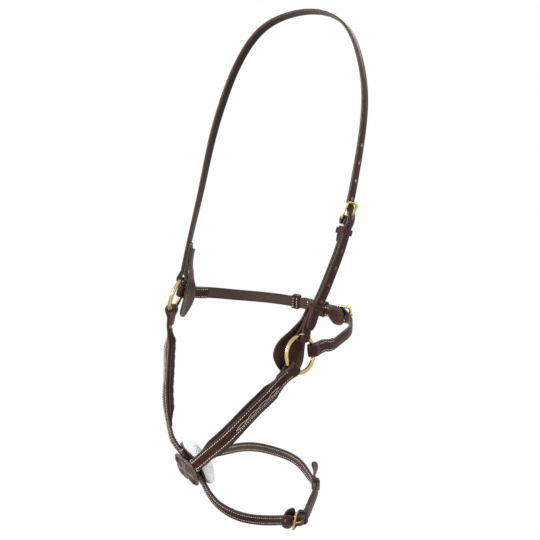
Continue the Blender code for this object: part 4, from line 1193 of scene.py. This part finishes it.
def makeHeadpiece():
    size = headSizes
    thick, cheek = size["thickness"], size["cheekThickness"]
    end = headLine.length
    bar = end - size["bar"]
    half, base, top = halfOf(cheek), halfOf(thick), levelOver(cheek, thick)
    buckle = Buckle(headLine, bar, -1, size["width"], cheek, thick)
    tail = end - size["tail"]
    fold = ringLoop(0, 1, size["width"], thick, size["turnBack"])
    longRun = [
        (fold[-1][0], base),
        (bar - buckleSizes["length"] - buckleSizes["approach"], base),
        *buckle.billetKnots(),
    ]
    settle = bar + buckleSizes["settle"]
    layDown = [(settle, top), (tail - size["tailBend"], top), (tail, top + size["tailLift"])]
    path = joined(fold, run(longRun + layDown))
    strap = Strap(headLine, path, pointed(size["width"]), thick, (thinning["head"], 0))
    holes = range(-4, 6), size["holePitch"], size["holeWidth"]
    # The head strap's inner face takes the painted shade
    punchedStrap("headStrap", "head_strap", strap, buckle, *holes, inside=innerPaint["head"])
    row, edge = size["width"] / 2 - stitchSizes["edgeInset"], stitchSizes["end"]
    start = strap.reached[len(fold) - 1]
    spans = (edge, size["turnBack"] - 13), (start, start + size["turnBack"] - 16)
    edgeRows("headpiece", strap, row, *spans)
    crossRow("headpiece", strap, edge, 4.0)

    fold = barLoop(bar, 1, cheek, size["buckleTurnBack"])
    other = ringLoop(end, -1, size["width"], cheek, size["cheekTurnBack"])
    named = "cheekStrap", "cheek_strap", headLine
    strap, start, stop = foldedStrap(*named, (fold, other), size["width"], cheek, buckle)
    buckle.make("cheekBuckle", "cheek_buckle_frame", "cheek_buckle_tongue")
    total = strap.total
    spans = (edge, size["buckleTurnBack"] - 12), (total - edge, total - size["cheekTurnBack"] + 16)
    edgeRows("headpiece", strap, row, *spans)
    doubled = 2 * cheek + play["layer"]
    for hand, letter in ((-1, "L"), (1, "R")):
        edgeStitch(f"cheekTopStitch{letter}", "headpiece", strap, start - 1, hand, doubled, 3)
        edgeStitch(f"cheekRingStitch{letter}", "headpiece", strap, stop + 3, hand, doubled)
    inner, outer, single = -half - cheek / 2, top + thick / 2, half - cheek / 2
    width, length = size["width"], keeperSizes["short"]
    keeperBand("cheekKeeper", "cheek_keeper", headLine, bar + size["keeper"], inner, outer, width, length)
    keeperBand("cheekRunner", "cheek_runner", headLine, end - size["runner"], single, outer, width, length)


makeHeadpiece()
print("headpiece made")


# Jaw strap, its buckle and the leaf of leather behind the buckle

safeSizes = {"thickness": 2.4, "start": 9.0, "settle": 4.0, "root": 11.0}


def buckleSafe(name, node, route, bar, thickness, length, width):
    safe, root = safeSizes["thickness"], safeSizes["root"]
    level = -halfOf(thickness) - thickness / 2 - play["layer"] - safe / 2
    low = -barRadius(thickness) - thickness / 2 - play["layer"] - safe / 2
    start = bar - safeSizes["start"]
    path = run([(start, level), (bar - safeSizes["settle"], low), (start + length, low)], 1.0)

    def shape(reached, total):
        share = reached / total
        belly = math.sin(math.pi * min(1.0, share * 0.92 + 0.08)) ** 0.6
        blunt = math.sqrt(max(0.02, 1 - max(0.0, (share - 0.86) / 0.14) ** 2))
        return (root + (width - root) * belly * ease(share / 0.35) - 6.0 * ease((share - 0.8) / 0.2)) * blunt

    leaf = Strap(route, path, shape, safe)
    dress(leaf.build(name, groove=1.9, depth=0.3, crown=0.15), havana, node)


def makeJaw():
    size = jawSizes
    thick = size["thickness"]
    half, top = halfOf(thick), levelOver(thick, thick)
    row, edge = size["width"] / 2 - stitchSizes["edgeInset"], stitchSizes["end"]
    end = jawLine.length
    bar = end - size["bar"]
    buckle = Buckle(jawLine, bar, 1, size["width"], thick, thick)
    fold = ringLoop(0, 1, size["width"], thick, size["turnBack"])
    other = barLoop(bar, -1, thick, size["buckleTurnBack"])
    named = "jawStrap", "jaw_strap", jawLine
    inside = innerPaint["jaw"]
    strap, start, stop = foldedStrap(*named, (fold, other), size["width"], thick, buckle, inside=inside)
    buckle.make("jawBuckle", "jaw_buckle_frame", "jaw_buckle_tongue")
    total, turned = strap.total, size["buckleTurnBack"]
    ringEnd = [(edge, size["turnBack"] - 13), (start + 2, start + size["turnBack"] - 14)]
    buckleEnd = [(total - edge, total - turned + 12), (stop - edge, stop - turned + 14)]
    edgeRows("jaw_piece", strap, row, *ringEnd, *buckleEnd)
    crossRow("jaw_piece", strap, total - edge, row)

    fold = ringLoop(end, -1, size["width"], thick, size["turnBack"])
    start = bar + buckleSizes["length"] + buckleSizes["approach"]
    lay = [(bar - buckleSizes["settle"], top), (bar - size["tail"], top)]
    path = joined(fold, run([fold[-1], (start, half), *buckle.billetKnots(), *lay]))
    strap = Strap(jawLine, path, pointed(size["width"]), thick, (thinning["other"], 0))
    holes = range(-2, 4), size["holePitch"]
    punchedStrap("jawBillet", "jaw_billet", strap, buckle, *holes, inside=inside)
    start = strap.reached[len(fold) - 1]
    spans = (edge, size["turnBack"] - 13), (start + 2, start + size["turnBack"] - 14)
    edgeRows("jaw_piece", strap, row, *spans)
    inner, outer, single = -half - thick / 2, top + thick / 2, half - thick / 2
    front, rear, width = bar - size["frontKeeper"], bar - size["rearKeeper"], size["width"]
    name, node = "jawFrontKeeper", "jaw_front_keeper"
    keeperBand(name, node, jawLine, front, single, outer, width, keeperSizes["long"], (-2.6, 2.6))
    name, node = "jawRearKeeper", "jaw_rear_keeper"
    keeperBand(name, node, jawLine, rear, inner, outer, width, keeperSizes["middle"])
    name, node = "jawBuckleSafe", "jaw_buckle_safe"
    buckleSafe(name, node, jawLine, bar, thick, size["safeLength"], size["safeWidth"])


makeJaw()
print("jaw strap made")


# Nose straps, chin strap, padding


def narrowing(wideUntil):
    wide, slim, fade = noseSizes["width"], noseSizes["chinWidth"], noseSizes["narrowing"]
    return lambda reached, total: wide + (slim - wide) * ease((reached - wideUntil + fade / 2) / fade)


def lining(name, nodes, start, stop, level):
    size = noseSizes
    back = level - size["thickness"] / 2 - play["layer"] - size["liningThickness"] / 2
    length = abs(stop - start)
    count = int(length / 1.5)
    rows = []
    for i in range(count + 1):
        reached = length * i / count
        s = start + (stop - start) * i / count
        point, _, normal, side = noseLine.frame(s)
        swell = ease(reached / size["ringTaper"]) * ease((length - reached) / size["liningTaper"])
        half = (size["width"] - 1 + (size["liningWidth"] - size["width"] + 1) * swell) / 2
        crown = size["liningCrown"] * (0.12 + 0.88 * swell)
        puff = 1 + 0.035 * math.sin(reached * 0.55) + 0.02 * math.sin(reached * 1.27 + 1)
        row = []
        for k in range(25):
            v = math.sin(math.pi / 2 * (k / 12 - 1))
            sink = crown * (1 - abs(v) ** 3.5) * puff
            row.append(point + (back - sink - 0.3 - 0.3 * (1 - v * v)) * normal + v * half * side)
        for k in range(23, 0, -1):
            v = math.sin(math.pi / 2 * (k / 12 - 1))
            row.append(point + (back + 0.5 * min(1.0, (1 - abs(v)) * 8)) * normal + v * (half + 0.15) * side)
        rows.append(np.array(row))
    for end in (0, -1):
        centre = rows[end].mean(axis=0)
        shrunk = centre + (rows[end] - centre) * 0.75
        rows.insert(0 if end == 0 else len(rows), shrunk)
    # Paint: the painted edge highlight along the lining's two rims, and half of it on its back
    edge = np.array([0.8 if k in (0, 24) else 0.0 for k in range(25)] + [0.5] * 23)
    piece = dress(rowsToMesh(name, rows, edge=edge), liningLeather, *nodes)


def makeNosepiece():
    size = noseSizes
    thick = size["thickness"]
    half, top = halfOf(thick), levelOver(thick, thick)
    end = noseLine.length
    bar = backCrossing - size["bar"]
    buckle = Buckle(noseLine, bar, 1, size["chinWidth"], thick, thick)
    fold = ringLoop(0, 1, size["width"], thick, size["turnBack"])
    other = barLoop(bar, -1, thick, size["buckleTurnBack"])
    width = narrowing(frontCrossing + size["turnBack"])
    look = {"groove": size["rowInset"], "inside": innerPaint["nose"]}
    named = "nearNoseStrap", "near_nose_strap", noseLine
    nearStrap, start, stop = foldedStrap(*named, (fold, other), width, thick, buckle, **look)
    buckle.make("chinBuckle", "chin_buckle_frame", "chin_buckle_tongue")
    cross = nearStrap.distanceOf(noseLine.place(frontCrossing, half))
    noseRows(nearStrap, start + size["rowStart"], stop - 2, cross)
    lattice(nearStrap, start + size["latticeStart"])

    fold = ringLoop(end, -1, size["width"], thick, size["turnBack"])
    flat = size["flat"]
    under = [(1.75 * flat, half), (flat, -half), (-1.2 * flat, -half)]
    under = [(backCrossing + ahead, level) for ahead, level in under]
    approach = [(bar + buckleSizes["length"] + buckleSizes["approach"], -half), *buckle.billetKnots()]
    settle, tail = bar - buckleSizes["settle"], bar - size["tail"]
    lift = [(settle, top), (tail + size["tailBend"], top), (tail, top + size["tailLift"])]
    path = joined(fold, run([fold[-1], *under, *approach, *lift]))
    taper, wide = pointed(1.0), narrowing(end - backCrossing + size["turnBack"])
    width = lambda reached, total: taper(reached, total) * wide(reached, total)
    offStrap = Strap(noseLine, path, width, thick, (thinning["other"], 0))
    holes = range(-2, 4), size["holePitch"]
    first = punchedStrap("offNoseStrap", "off_nose_strap", offStrap, buckle, *holes, **look)
    start = offStrap.reached[len(fold) - 1]
    cross = offStrap.distanceOf(noseLine.place(backCrossing, -half))
    noseRows(offStrap, start + size["rowStart"], first - size["rowStop"], cross)
    lattice(offStrap, start + size["latticeStart"])
    inner, outer, single = -half - thick / 2, top + thick / 2, half - thick / 2
    keeper, runner, width = bar - size["keeper"], bar - size["runner"], size["chinWidth"]
    name, node = "chinKeeper", "chin_keeper"
    keeperBand(name, node, noseLine, keeper, inner, outer, width, keeperSizes["middle"])
    name, node = "chinRunner", "chin_runner"
    keeperBand(name, node, noseLine, runner, single, outer, width, keeperSizes["short"])
    name, node = "chinBuckleSafe", "chin_buckle_safe"
    buckleSafe(name, node, noseLine, bar, thick, size["safeLength"], size["safeWidth"])
    start, stop = size["turnBack"] + size["loopGap"], size["liningGap"]
    lining("nearNoseLining", ("near_nose_lining", "near_nose_filler"), start, frontCrossing - stop, half)
    stop += backCrossing + size["offShorter"]
    lining("offNoseLining", ("off_nose_lining", "off_nose_filler"), end - start, stop, half)
    return nearStrap, offStrap


def noseRows(strap, start, stop, cross):
    # Both edges of both faces, but not where the other strap covers the crossing
    covered = 17.0
    for face, early, lift in ((1, 9, stitchLift["grooved"]), (-1, 0, stitchLift["flesh"])):
        for low, high in ((start - early, cross - covered), (cross + covered, stop)):
            count = int((high - low) / stitchSizes["step"])
            for hand in (-1, 1):
                spots = []
                for i in range(count + 1):
                    distance = low + (high - low) * i / count
                    half = np.interp(distance, strap.reached, strap.width) / 2
                    spots.append(strap.at(distance, hand * (half - noseSizes["rowInset"]), face, lift))
                seam("nosepiece", spots)


def lattice(strap, start):
    # Two waves of stitching that cross each other along the strap, nearer its lower edge
    size = noseSizes
    length = size["latticeWave"] * size["latticeWaves"]
    for hand in (1, -1):
        line = []
        for i in range(int(length) + 1):
            sway = hand * size["latticeReach"] * math.sin(math.pi * i / size["latticeWave"])
            line.append(strap.at(start + i, size["latticeAside"] + sway, 1, stitchLift["lattice"]))
        seam("lattice", line)


nearStrap, offStrap = makeNosepiece()
print("nosepiece made")


# Crossing: rosette, backing, rivets and fleece

crossSizes = {
    "rosette": 20.5,
    "rosetteThickness": 5.0,
    "long": 27.0,
    "short": 20.0,
    "backing": 2.2,
    "rivetOut": 17.5,
    "rivetSunk": 0.5,
    "threadOut": 23.0,
    "fleece": 31.0,
    "fleeceThickness": 15.0,
    "pile": 1.2,
}


def crossAxes():
    down = noseLine.frame(backCrossing)[1]
    down = unit(down - down.dot(crossNormal) * crossNormal)
    return -down, np.cross(crossNormal, -down), crossNormal


def embossed(name, outline, low, high, relief, finish, node, axes, paleMarks=None):
    # A leather shape with a worked front: rings of points from the middle to the rim and round to the back
    along, side, normal = axes
    around = len(outline)
    rows = []
    rings = [0.04, 0.12, 0.22, 0.34, 0.46, 0.58, 0.70, 0.80, 0.88, 0.94, 0.975, 1.0]
    spotAt = lambda share, x, y, level: crossing + along * x * share + side * y * share + level * normal
    for share in rings:
        drop = 0.0 if share < 0.94 else (0.25 if share < 0.975 else 0.6 if share < 1 else 1.2)
        levels = [high - drop + relief(share, 2 * math.pi * i / around) for i in range(around)]
        rows.append([spotAt(share, x, y, level) for (x, y), level in zip(outline, levels)])
    rows.append([spotAt(1.0, x, y, low + 0.5) for x, y in outline])
    for share in (0.97, 0.6, 0.05):
        rows.append([spotAt(share, x, y, low) for x, y in outline])
    piece = rowsToMesh(name, rows)
    values = np.zeros(len(piece.data.vertices), np.float32)
    # The rim rings take the painted edge highlight, less of it on the rosette, whose edge colour is paler
    values[10 * around : 13 * around] = 0.4 if paleMarks else 0.7
    if paleMarks:
        turns = [2 * math.pi * i / around for i in range(around)]
        values[: 10 * around] = [paleMarks(share, turn) for share in rings[:10] for turn in turns]
    piece.data.attributes["edge"].data.foreach_set("value", values)
    return dress(piece, finish, node)


def makeCrossing():
    size = crossSizes
    axes = along, side, normal = crossAxes()
    thick = noseSizes["thickness"]
    face = halfOf(thick) + thick / 2 + play["layer"]
    outline = []
    for step in range(144):
        turn = 2 * math.pi * step / 144
        reach = size["rosette"] * (1 + 0.10 * math.cos(4 * turn) + 0.035 * math.cos(12 * turn))
        outline.append((reach * math.cos(turn), reach * math.sin(turn)))

    def petals(share, turn):
        # Four lobes with a vein each, parted by creases, round a small knot
        parting = abs(math.cos(2 * turn))
        vein = abs(math.sin(2 * turn))
        crease = -1.3 * math.exp(-((parting / 0.16) ** 2)) * ease((share - 0.1) / 0.3)
        rib = -0.7 * math.exp(-((vein / 0.10) ** 2)) * ease((share - 0.12) / 0.2) * ease((0.85 - share) / 0.2)
        knot = 0.5 * math.exp(-((share / 0.13) ** 2))
        return crease + rib + knot - 0.9 * share**2 - 0.2

    def paleRidges(share, turn):
        # Paler in bands along both sides of each crease between the petals, and on the knot
        ridge = math.exp(-(((abs(math.cos(2 * turn)) - 0.30) / 0.16) ** 2))
        knot = 0.8 * math.exp(-((share / 0.12) ** 2))
        return ridge * ease((share - 0.05) / 0.2) * ease((0.95 - share) / 0.3) + knot

    high = face + size["rosetteThickness"]
    embossed("rosette", outline, face + 0.1, high, petals, rosetteLeather, "rosette", axes, paleRidges)
    outline = []
    for step in range(96):
        turn = 2 * math.pi * step / 96
        shrink = (abs(math.cos(turn)) ** 1.25 + abs(math.sin(turn)) ** 1.25) ** (-1 / 1.25)
        outline.append((size["long"] * shrink * math.cos(turn), size["short"] * shrink * math.sin(turn)))
    groove = lambda share, turn: -0.3 * math.exp(-(((share - 0.88) / 0.03) ** 2))
    low = -face - size["backing"]
    embossed("crossingBacking", outline, low, -face, groove, havana, "crossing_backing", axes)

    # Rivets: radius and level, from the top of the head to the foot of the shank
    profile = [(0.12, 1.3), (0.7, 1.24), (1.35, 1.0), (2.0, 0.6), (2.4, 0.25), (2.5, 0.0)]
    profile += [(2.3, -0.15), (1.15, -0.2), (1.1, -2.0), (1.1, -10.5), (0.1, -10.6)]
    head = face + size["rosetteThickness"] + play["layer"]
    ways = [math.cos(t) * along + math.sin(t) * side for t in (2 * math.pi * i / 28 for i in range(28))]
    for name, node, hand in (("lowerRivet", "lower_rivet", -1), ("upperRivet", "upper_rivet", 1)):
        centre = crossing + along * hand * size["rivetOut"]
        rows = []
        for radius, level in profile:
            middle = centre + (head - size["rivetSunk"] + level) * normal
            rows.append([middle + radius * way for way in ways])
        dress(rowsToMesh(name, rows), oldBrass, node)
    for n, (strap, at, level) in enumerate(((nearStrap, frontCrossing, 1), (offStrap, backCrossing, -1))):
        distance = strap.distanceOf(noseLine.place(at, level * halfOf(thick))) - size["threadOut"]
        for hand, letter in ((-1, "L"), (1, "R")):
            edgeStitch(f"crossingStitch{n}{letter}", "nosepiece", strap, distance, hand, thick)
    makeFleece(low - play["layer"], axes)


def makeFleece(level, axes):
    along, side, normal = axes
    size = crossSizes
    mesh = bmesh.new()
    bmesh.ops.create_uvsphere(mesh, u_segments=72, v_segments=36, radius=1.0)
    for vert in mesh.verts:
        x, y, z = vert.co
        turn = math.atan2(y, x)
        rim = 1 + 0.025 * math.cos(5 * turn) + 0.015 * math.sin(9 * turn)
        reach = (size["fleece"] - size["pile"]) * rim
        out = 0.35 * z if z > 0 else z
        dimples = 0.4 * math.sin(7 * x + 2) * math.sin(8 * y)
        depth = -(size["fleeceThickness"] - size["pile"]) * (0.26 - 0.74 * out) - dimples
        flat = math.hypot(x, y) ** 0.75 / max(math.hypot(x, y), 0.0001)
        spot = crossing + (level + min(depth, -1.0)) * normal
        vert.co = place(spot + along * x * flat * reach + side * y * flat * reach)
    data = bpy.data.meshes.new("fleecePad")
    mesh.to_mesh(data)
    mesh.free()
    data.shade_smooth()
    piece = added("fleecePad", data)
    woolPile.apply(piece)
    dress(piece, creamWool, "fleece_pad")
    print("fleece", len(piece.data.polygons), "faces")


makeCrossing()


# Leaves of leather behind the rings

leafSizes = {"thickness": 2.4, "tab": 40.0, "dish": 2.5, "standoff": 10.5}
leafSizes["near"] = {"length": 44.0, "halfWidth": 24.0, "tilt": 14.0, "turn": 0.0}
leafSizes["off"] = {"length": 61.0, "halfWidth": 18.0, "tilt": -24.0, "turn": -4.0}


def ringLeaf(name, node, ring, atEnd, thickness, own):
    size = leafSizes
    facing = -1 if atEnd else 1
    base = headLine.length if atEnd else 0.0
    depth = halfOf(thickness) + thickness / 2 + play["layer"] + size["thickness"] / 2
    stops = []
    for up, sink in ((1.0, 0.0), (0.75, 0.2), (0.5, 1.2), (0.2, 4.2)):
        at = base + facing * up * size["tab"]
        stops.append((headLine.place(at, -depth - sink), headLine.frame(at)[2]))
    start, tangent, _, _ = headLine.frame(base)
    down = -facing * tangent
    down = unit(down - down.dot(ring.axis) * ring.axis)
    tilt, turn = math.radians(own["tilt"]), math.radians(own["turn"])
    down = math.cos(tilt) * down + math.sin(tilt) * ring.forward
    facingOut = math.cos(turn) * ring.axis + math.sin(turn) * np.cross(vec(0, 0, 1), ring.axis)
    for reach, extra in ((0.13, 0.0), (0.39, 0.3), (0.7, 0.8), (1.0, 1.5)):
        spot = start + down * reach * own["length"] - ring.axis * (size["standoff"] + extra)
        stops.append((spot, facingOut))
    route = Route(stops)
    tab, wide = size["tab"], headSizes["width"] - 1

    def shape(reached, total):
        share = (reached - tab * 0.55) / (total - tab * 0.55)
        if share < 0:
            return wide
        leaf = math.sin(math.pi * share**1.9) ** 0.7 if share < 1 else 0.0
        blunt = math.sqrt(max(0.03, 1 - max(0.0, (share - 0.93) / 0.07) ** 2))
        return (wide + (2 * own["halfWidth"] - wide) * leaf - 7 * ease((share - 0.8) / 0.2)) * blunt

    path = run([(0.0, 0.0), (route.length, 0.0)], 1.0)
    leaf = Strap(route, path, shape, size["thickness"])
    piece = leaf.build(name, groove=2.2, depth=0.35, crown=0.1)
    corners = place(leaf.middle)
    shares = [min(1.0, max(0.0, d - tab) / (leaf.total - tab)) for d in leaf.reached]
    dish = [size["dish"] * math.sin(math.pi * share) for share in shares]
    for vert in piece.data.vertices:
        at = np.array(vert.co)
        i = int(np.argmin(lengthsOf(corners - at)))
        across = np.dot(at - corners[i], leaf.side[i]) / (leaf.width[i] / 2 * mm)
        vert.co = Vector(at - leaf.out[i] * dish[i] * min(1.0, across * across) * mm)
    dress(piece, havana, node)


ringLeaf("nearRingLeaf", "near_ring_safe", nearRing, True, headSizes["cheekThickness"], leafSizes["near"])
ringLeaf("offRingLeaf", "off_ring_safe", offRing, False, headSizes["thickness"], leafSizes["off"])
sewSeams()
print("small pieces made")


# Floor, lights and camera


stageSizes = {"drop": 0.30, "half": 60.0, "glow": 0.99, "ambient": 0.46}


def seenDirectly(tree):
    # 1 for what the camera sees, also in a reflection or through something, and 0 for the light it gives
    rays = tree.nodes.new("ShaderNodeLightPath")
    seen = rays.outputs["Is Camera Ray"]
    for kind in ("Is Glossy Ray", "Is Transmission Ray"):
        most = tree.nodes.new("ShaderNodeMath")
        most.operation = "MAXIMUM"
        tree.links.new(seen, most.inputs[0])
        tree.links.new(rays.outputs[kind], most.inputs[1])
        seen = most.outputs[0]
    return seen


def makeStage():
    size = stageSizes
    bench = Bench("paleFloor")
    bench.done(Base_Color=(0.90, 0.90, 0.89, 1), Roughness=0.9)
    glow = bench.node("ShaderNodeEmission", None, {"Color": (1, 1, 1, 1), "Strength": 1.0})
    share = Signal(bench, seenDirectly(bench.tree)) * size["glow"]
    lit = Signal(bench, bench.shader.outputs[0])
    mixed = bench.node("ShaderNodeMixShader", None, {0: share, 1: lit, 2: glow})
    bench.tree.links.new(mixed.socket, bench.tree.nodes["Material Output"].inputs[0])
    data = bpy.data.meshes.new("floor")
    half, low = size["half"], cadBox[0].z - size["drop"]
    corners = [(x * half, y * half, low) for x, y in ((-1, -1), (1, -1), (1, 1), (-1, 1))]
    data.from_pydata(corners, [], [(0, 1, 2, 3)])
    data.materials.append(bench.material)
    floor = added("floor", data)

    world = bpy.data.worlds.new("studio")
    bpy.context.scene.world = world
    world.use_nodes = True
    tree = world.node_tree
    strength = tree.nodes.new("ShaderNodeMapRange")
    strength.inputs["To Min"].default_value = size["ambient"]
    tree.links.new(seenDirectly(tree), strength.inputs[0])
    tree.links.new(strength.outputs[0], tree.nodes["Background"].inputs["Strength"])
    tree.nodes["Background"].inputs["Color"].default_value = (1, 1, 1, 1)


cameraSizes = {
    "azimuth": 42.0,
    "elevation": 19.0,
    "distance": 1.25,
    "lens": 67.5,
    "sensor": 36.0,
    "target": (-0.00014, -0.0964, -0.3010),
}
lamps = {
    "keyLamp": {"place": (-1.0, -1.7, 1.1), "size": 0.55, "power": 44.0},
    "sideLamp": {"place": (1.9, -0.6, 0.5), "size": 1.2, "power": 6.0},
    "rearLamp": {"place": (-0.3, 1.8, 1.0), "size": 1.2, "power": 20.0},
}


def aim(thing, spot, target):
    thing.location = spot
    thing.rotation_mode = "QUATERNION"
    thing.rotation_quaternion = (Vector(target) - Vector(spot)).to_track_quat("-Z", "Y")


def makeCamera():
    size = cameraSizes
    a, e = math.radians(size["azimuth"]), math.radians(size["elevation"])
    back = Vector((math.sin(a) * math.cos(e), -math.cos(a) * math.cos(e), math.sin(e)))
    target = Vector(size["target"])
    data = bpy.data.cameras.new("camera")
    data.lens = size["lens"]
    data.sensor_width = size["sensor"]
    camera = added("camera", data)
    aim(camera, target + back * size["distance"], target)
    bpy.context.scene.camera = camera
    middle = (cadBox[0] + cadBox[1]) / 2
    for name, lamp in lamps.items():
        light = bpy.data.lights.new(name, "AREA")
        light.energy = lamp["power"]
        light.size = lamp["size"]
        aim(added(name, light), Vector(lamp["place"]) + middle, middle)


makeStage()
makeCamera()
bpy.context.scene.view_settings.view_transform = "Standard"
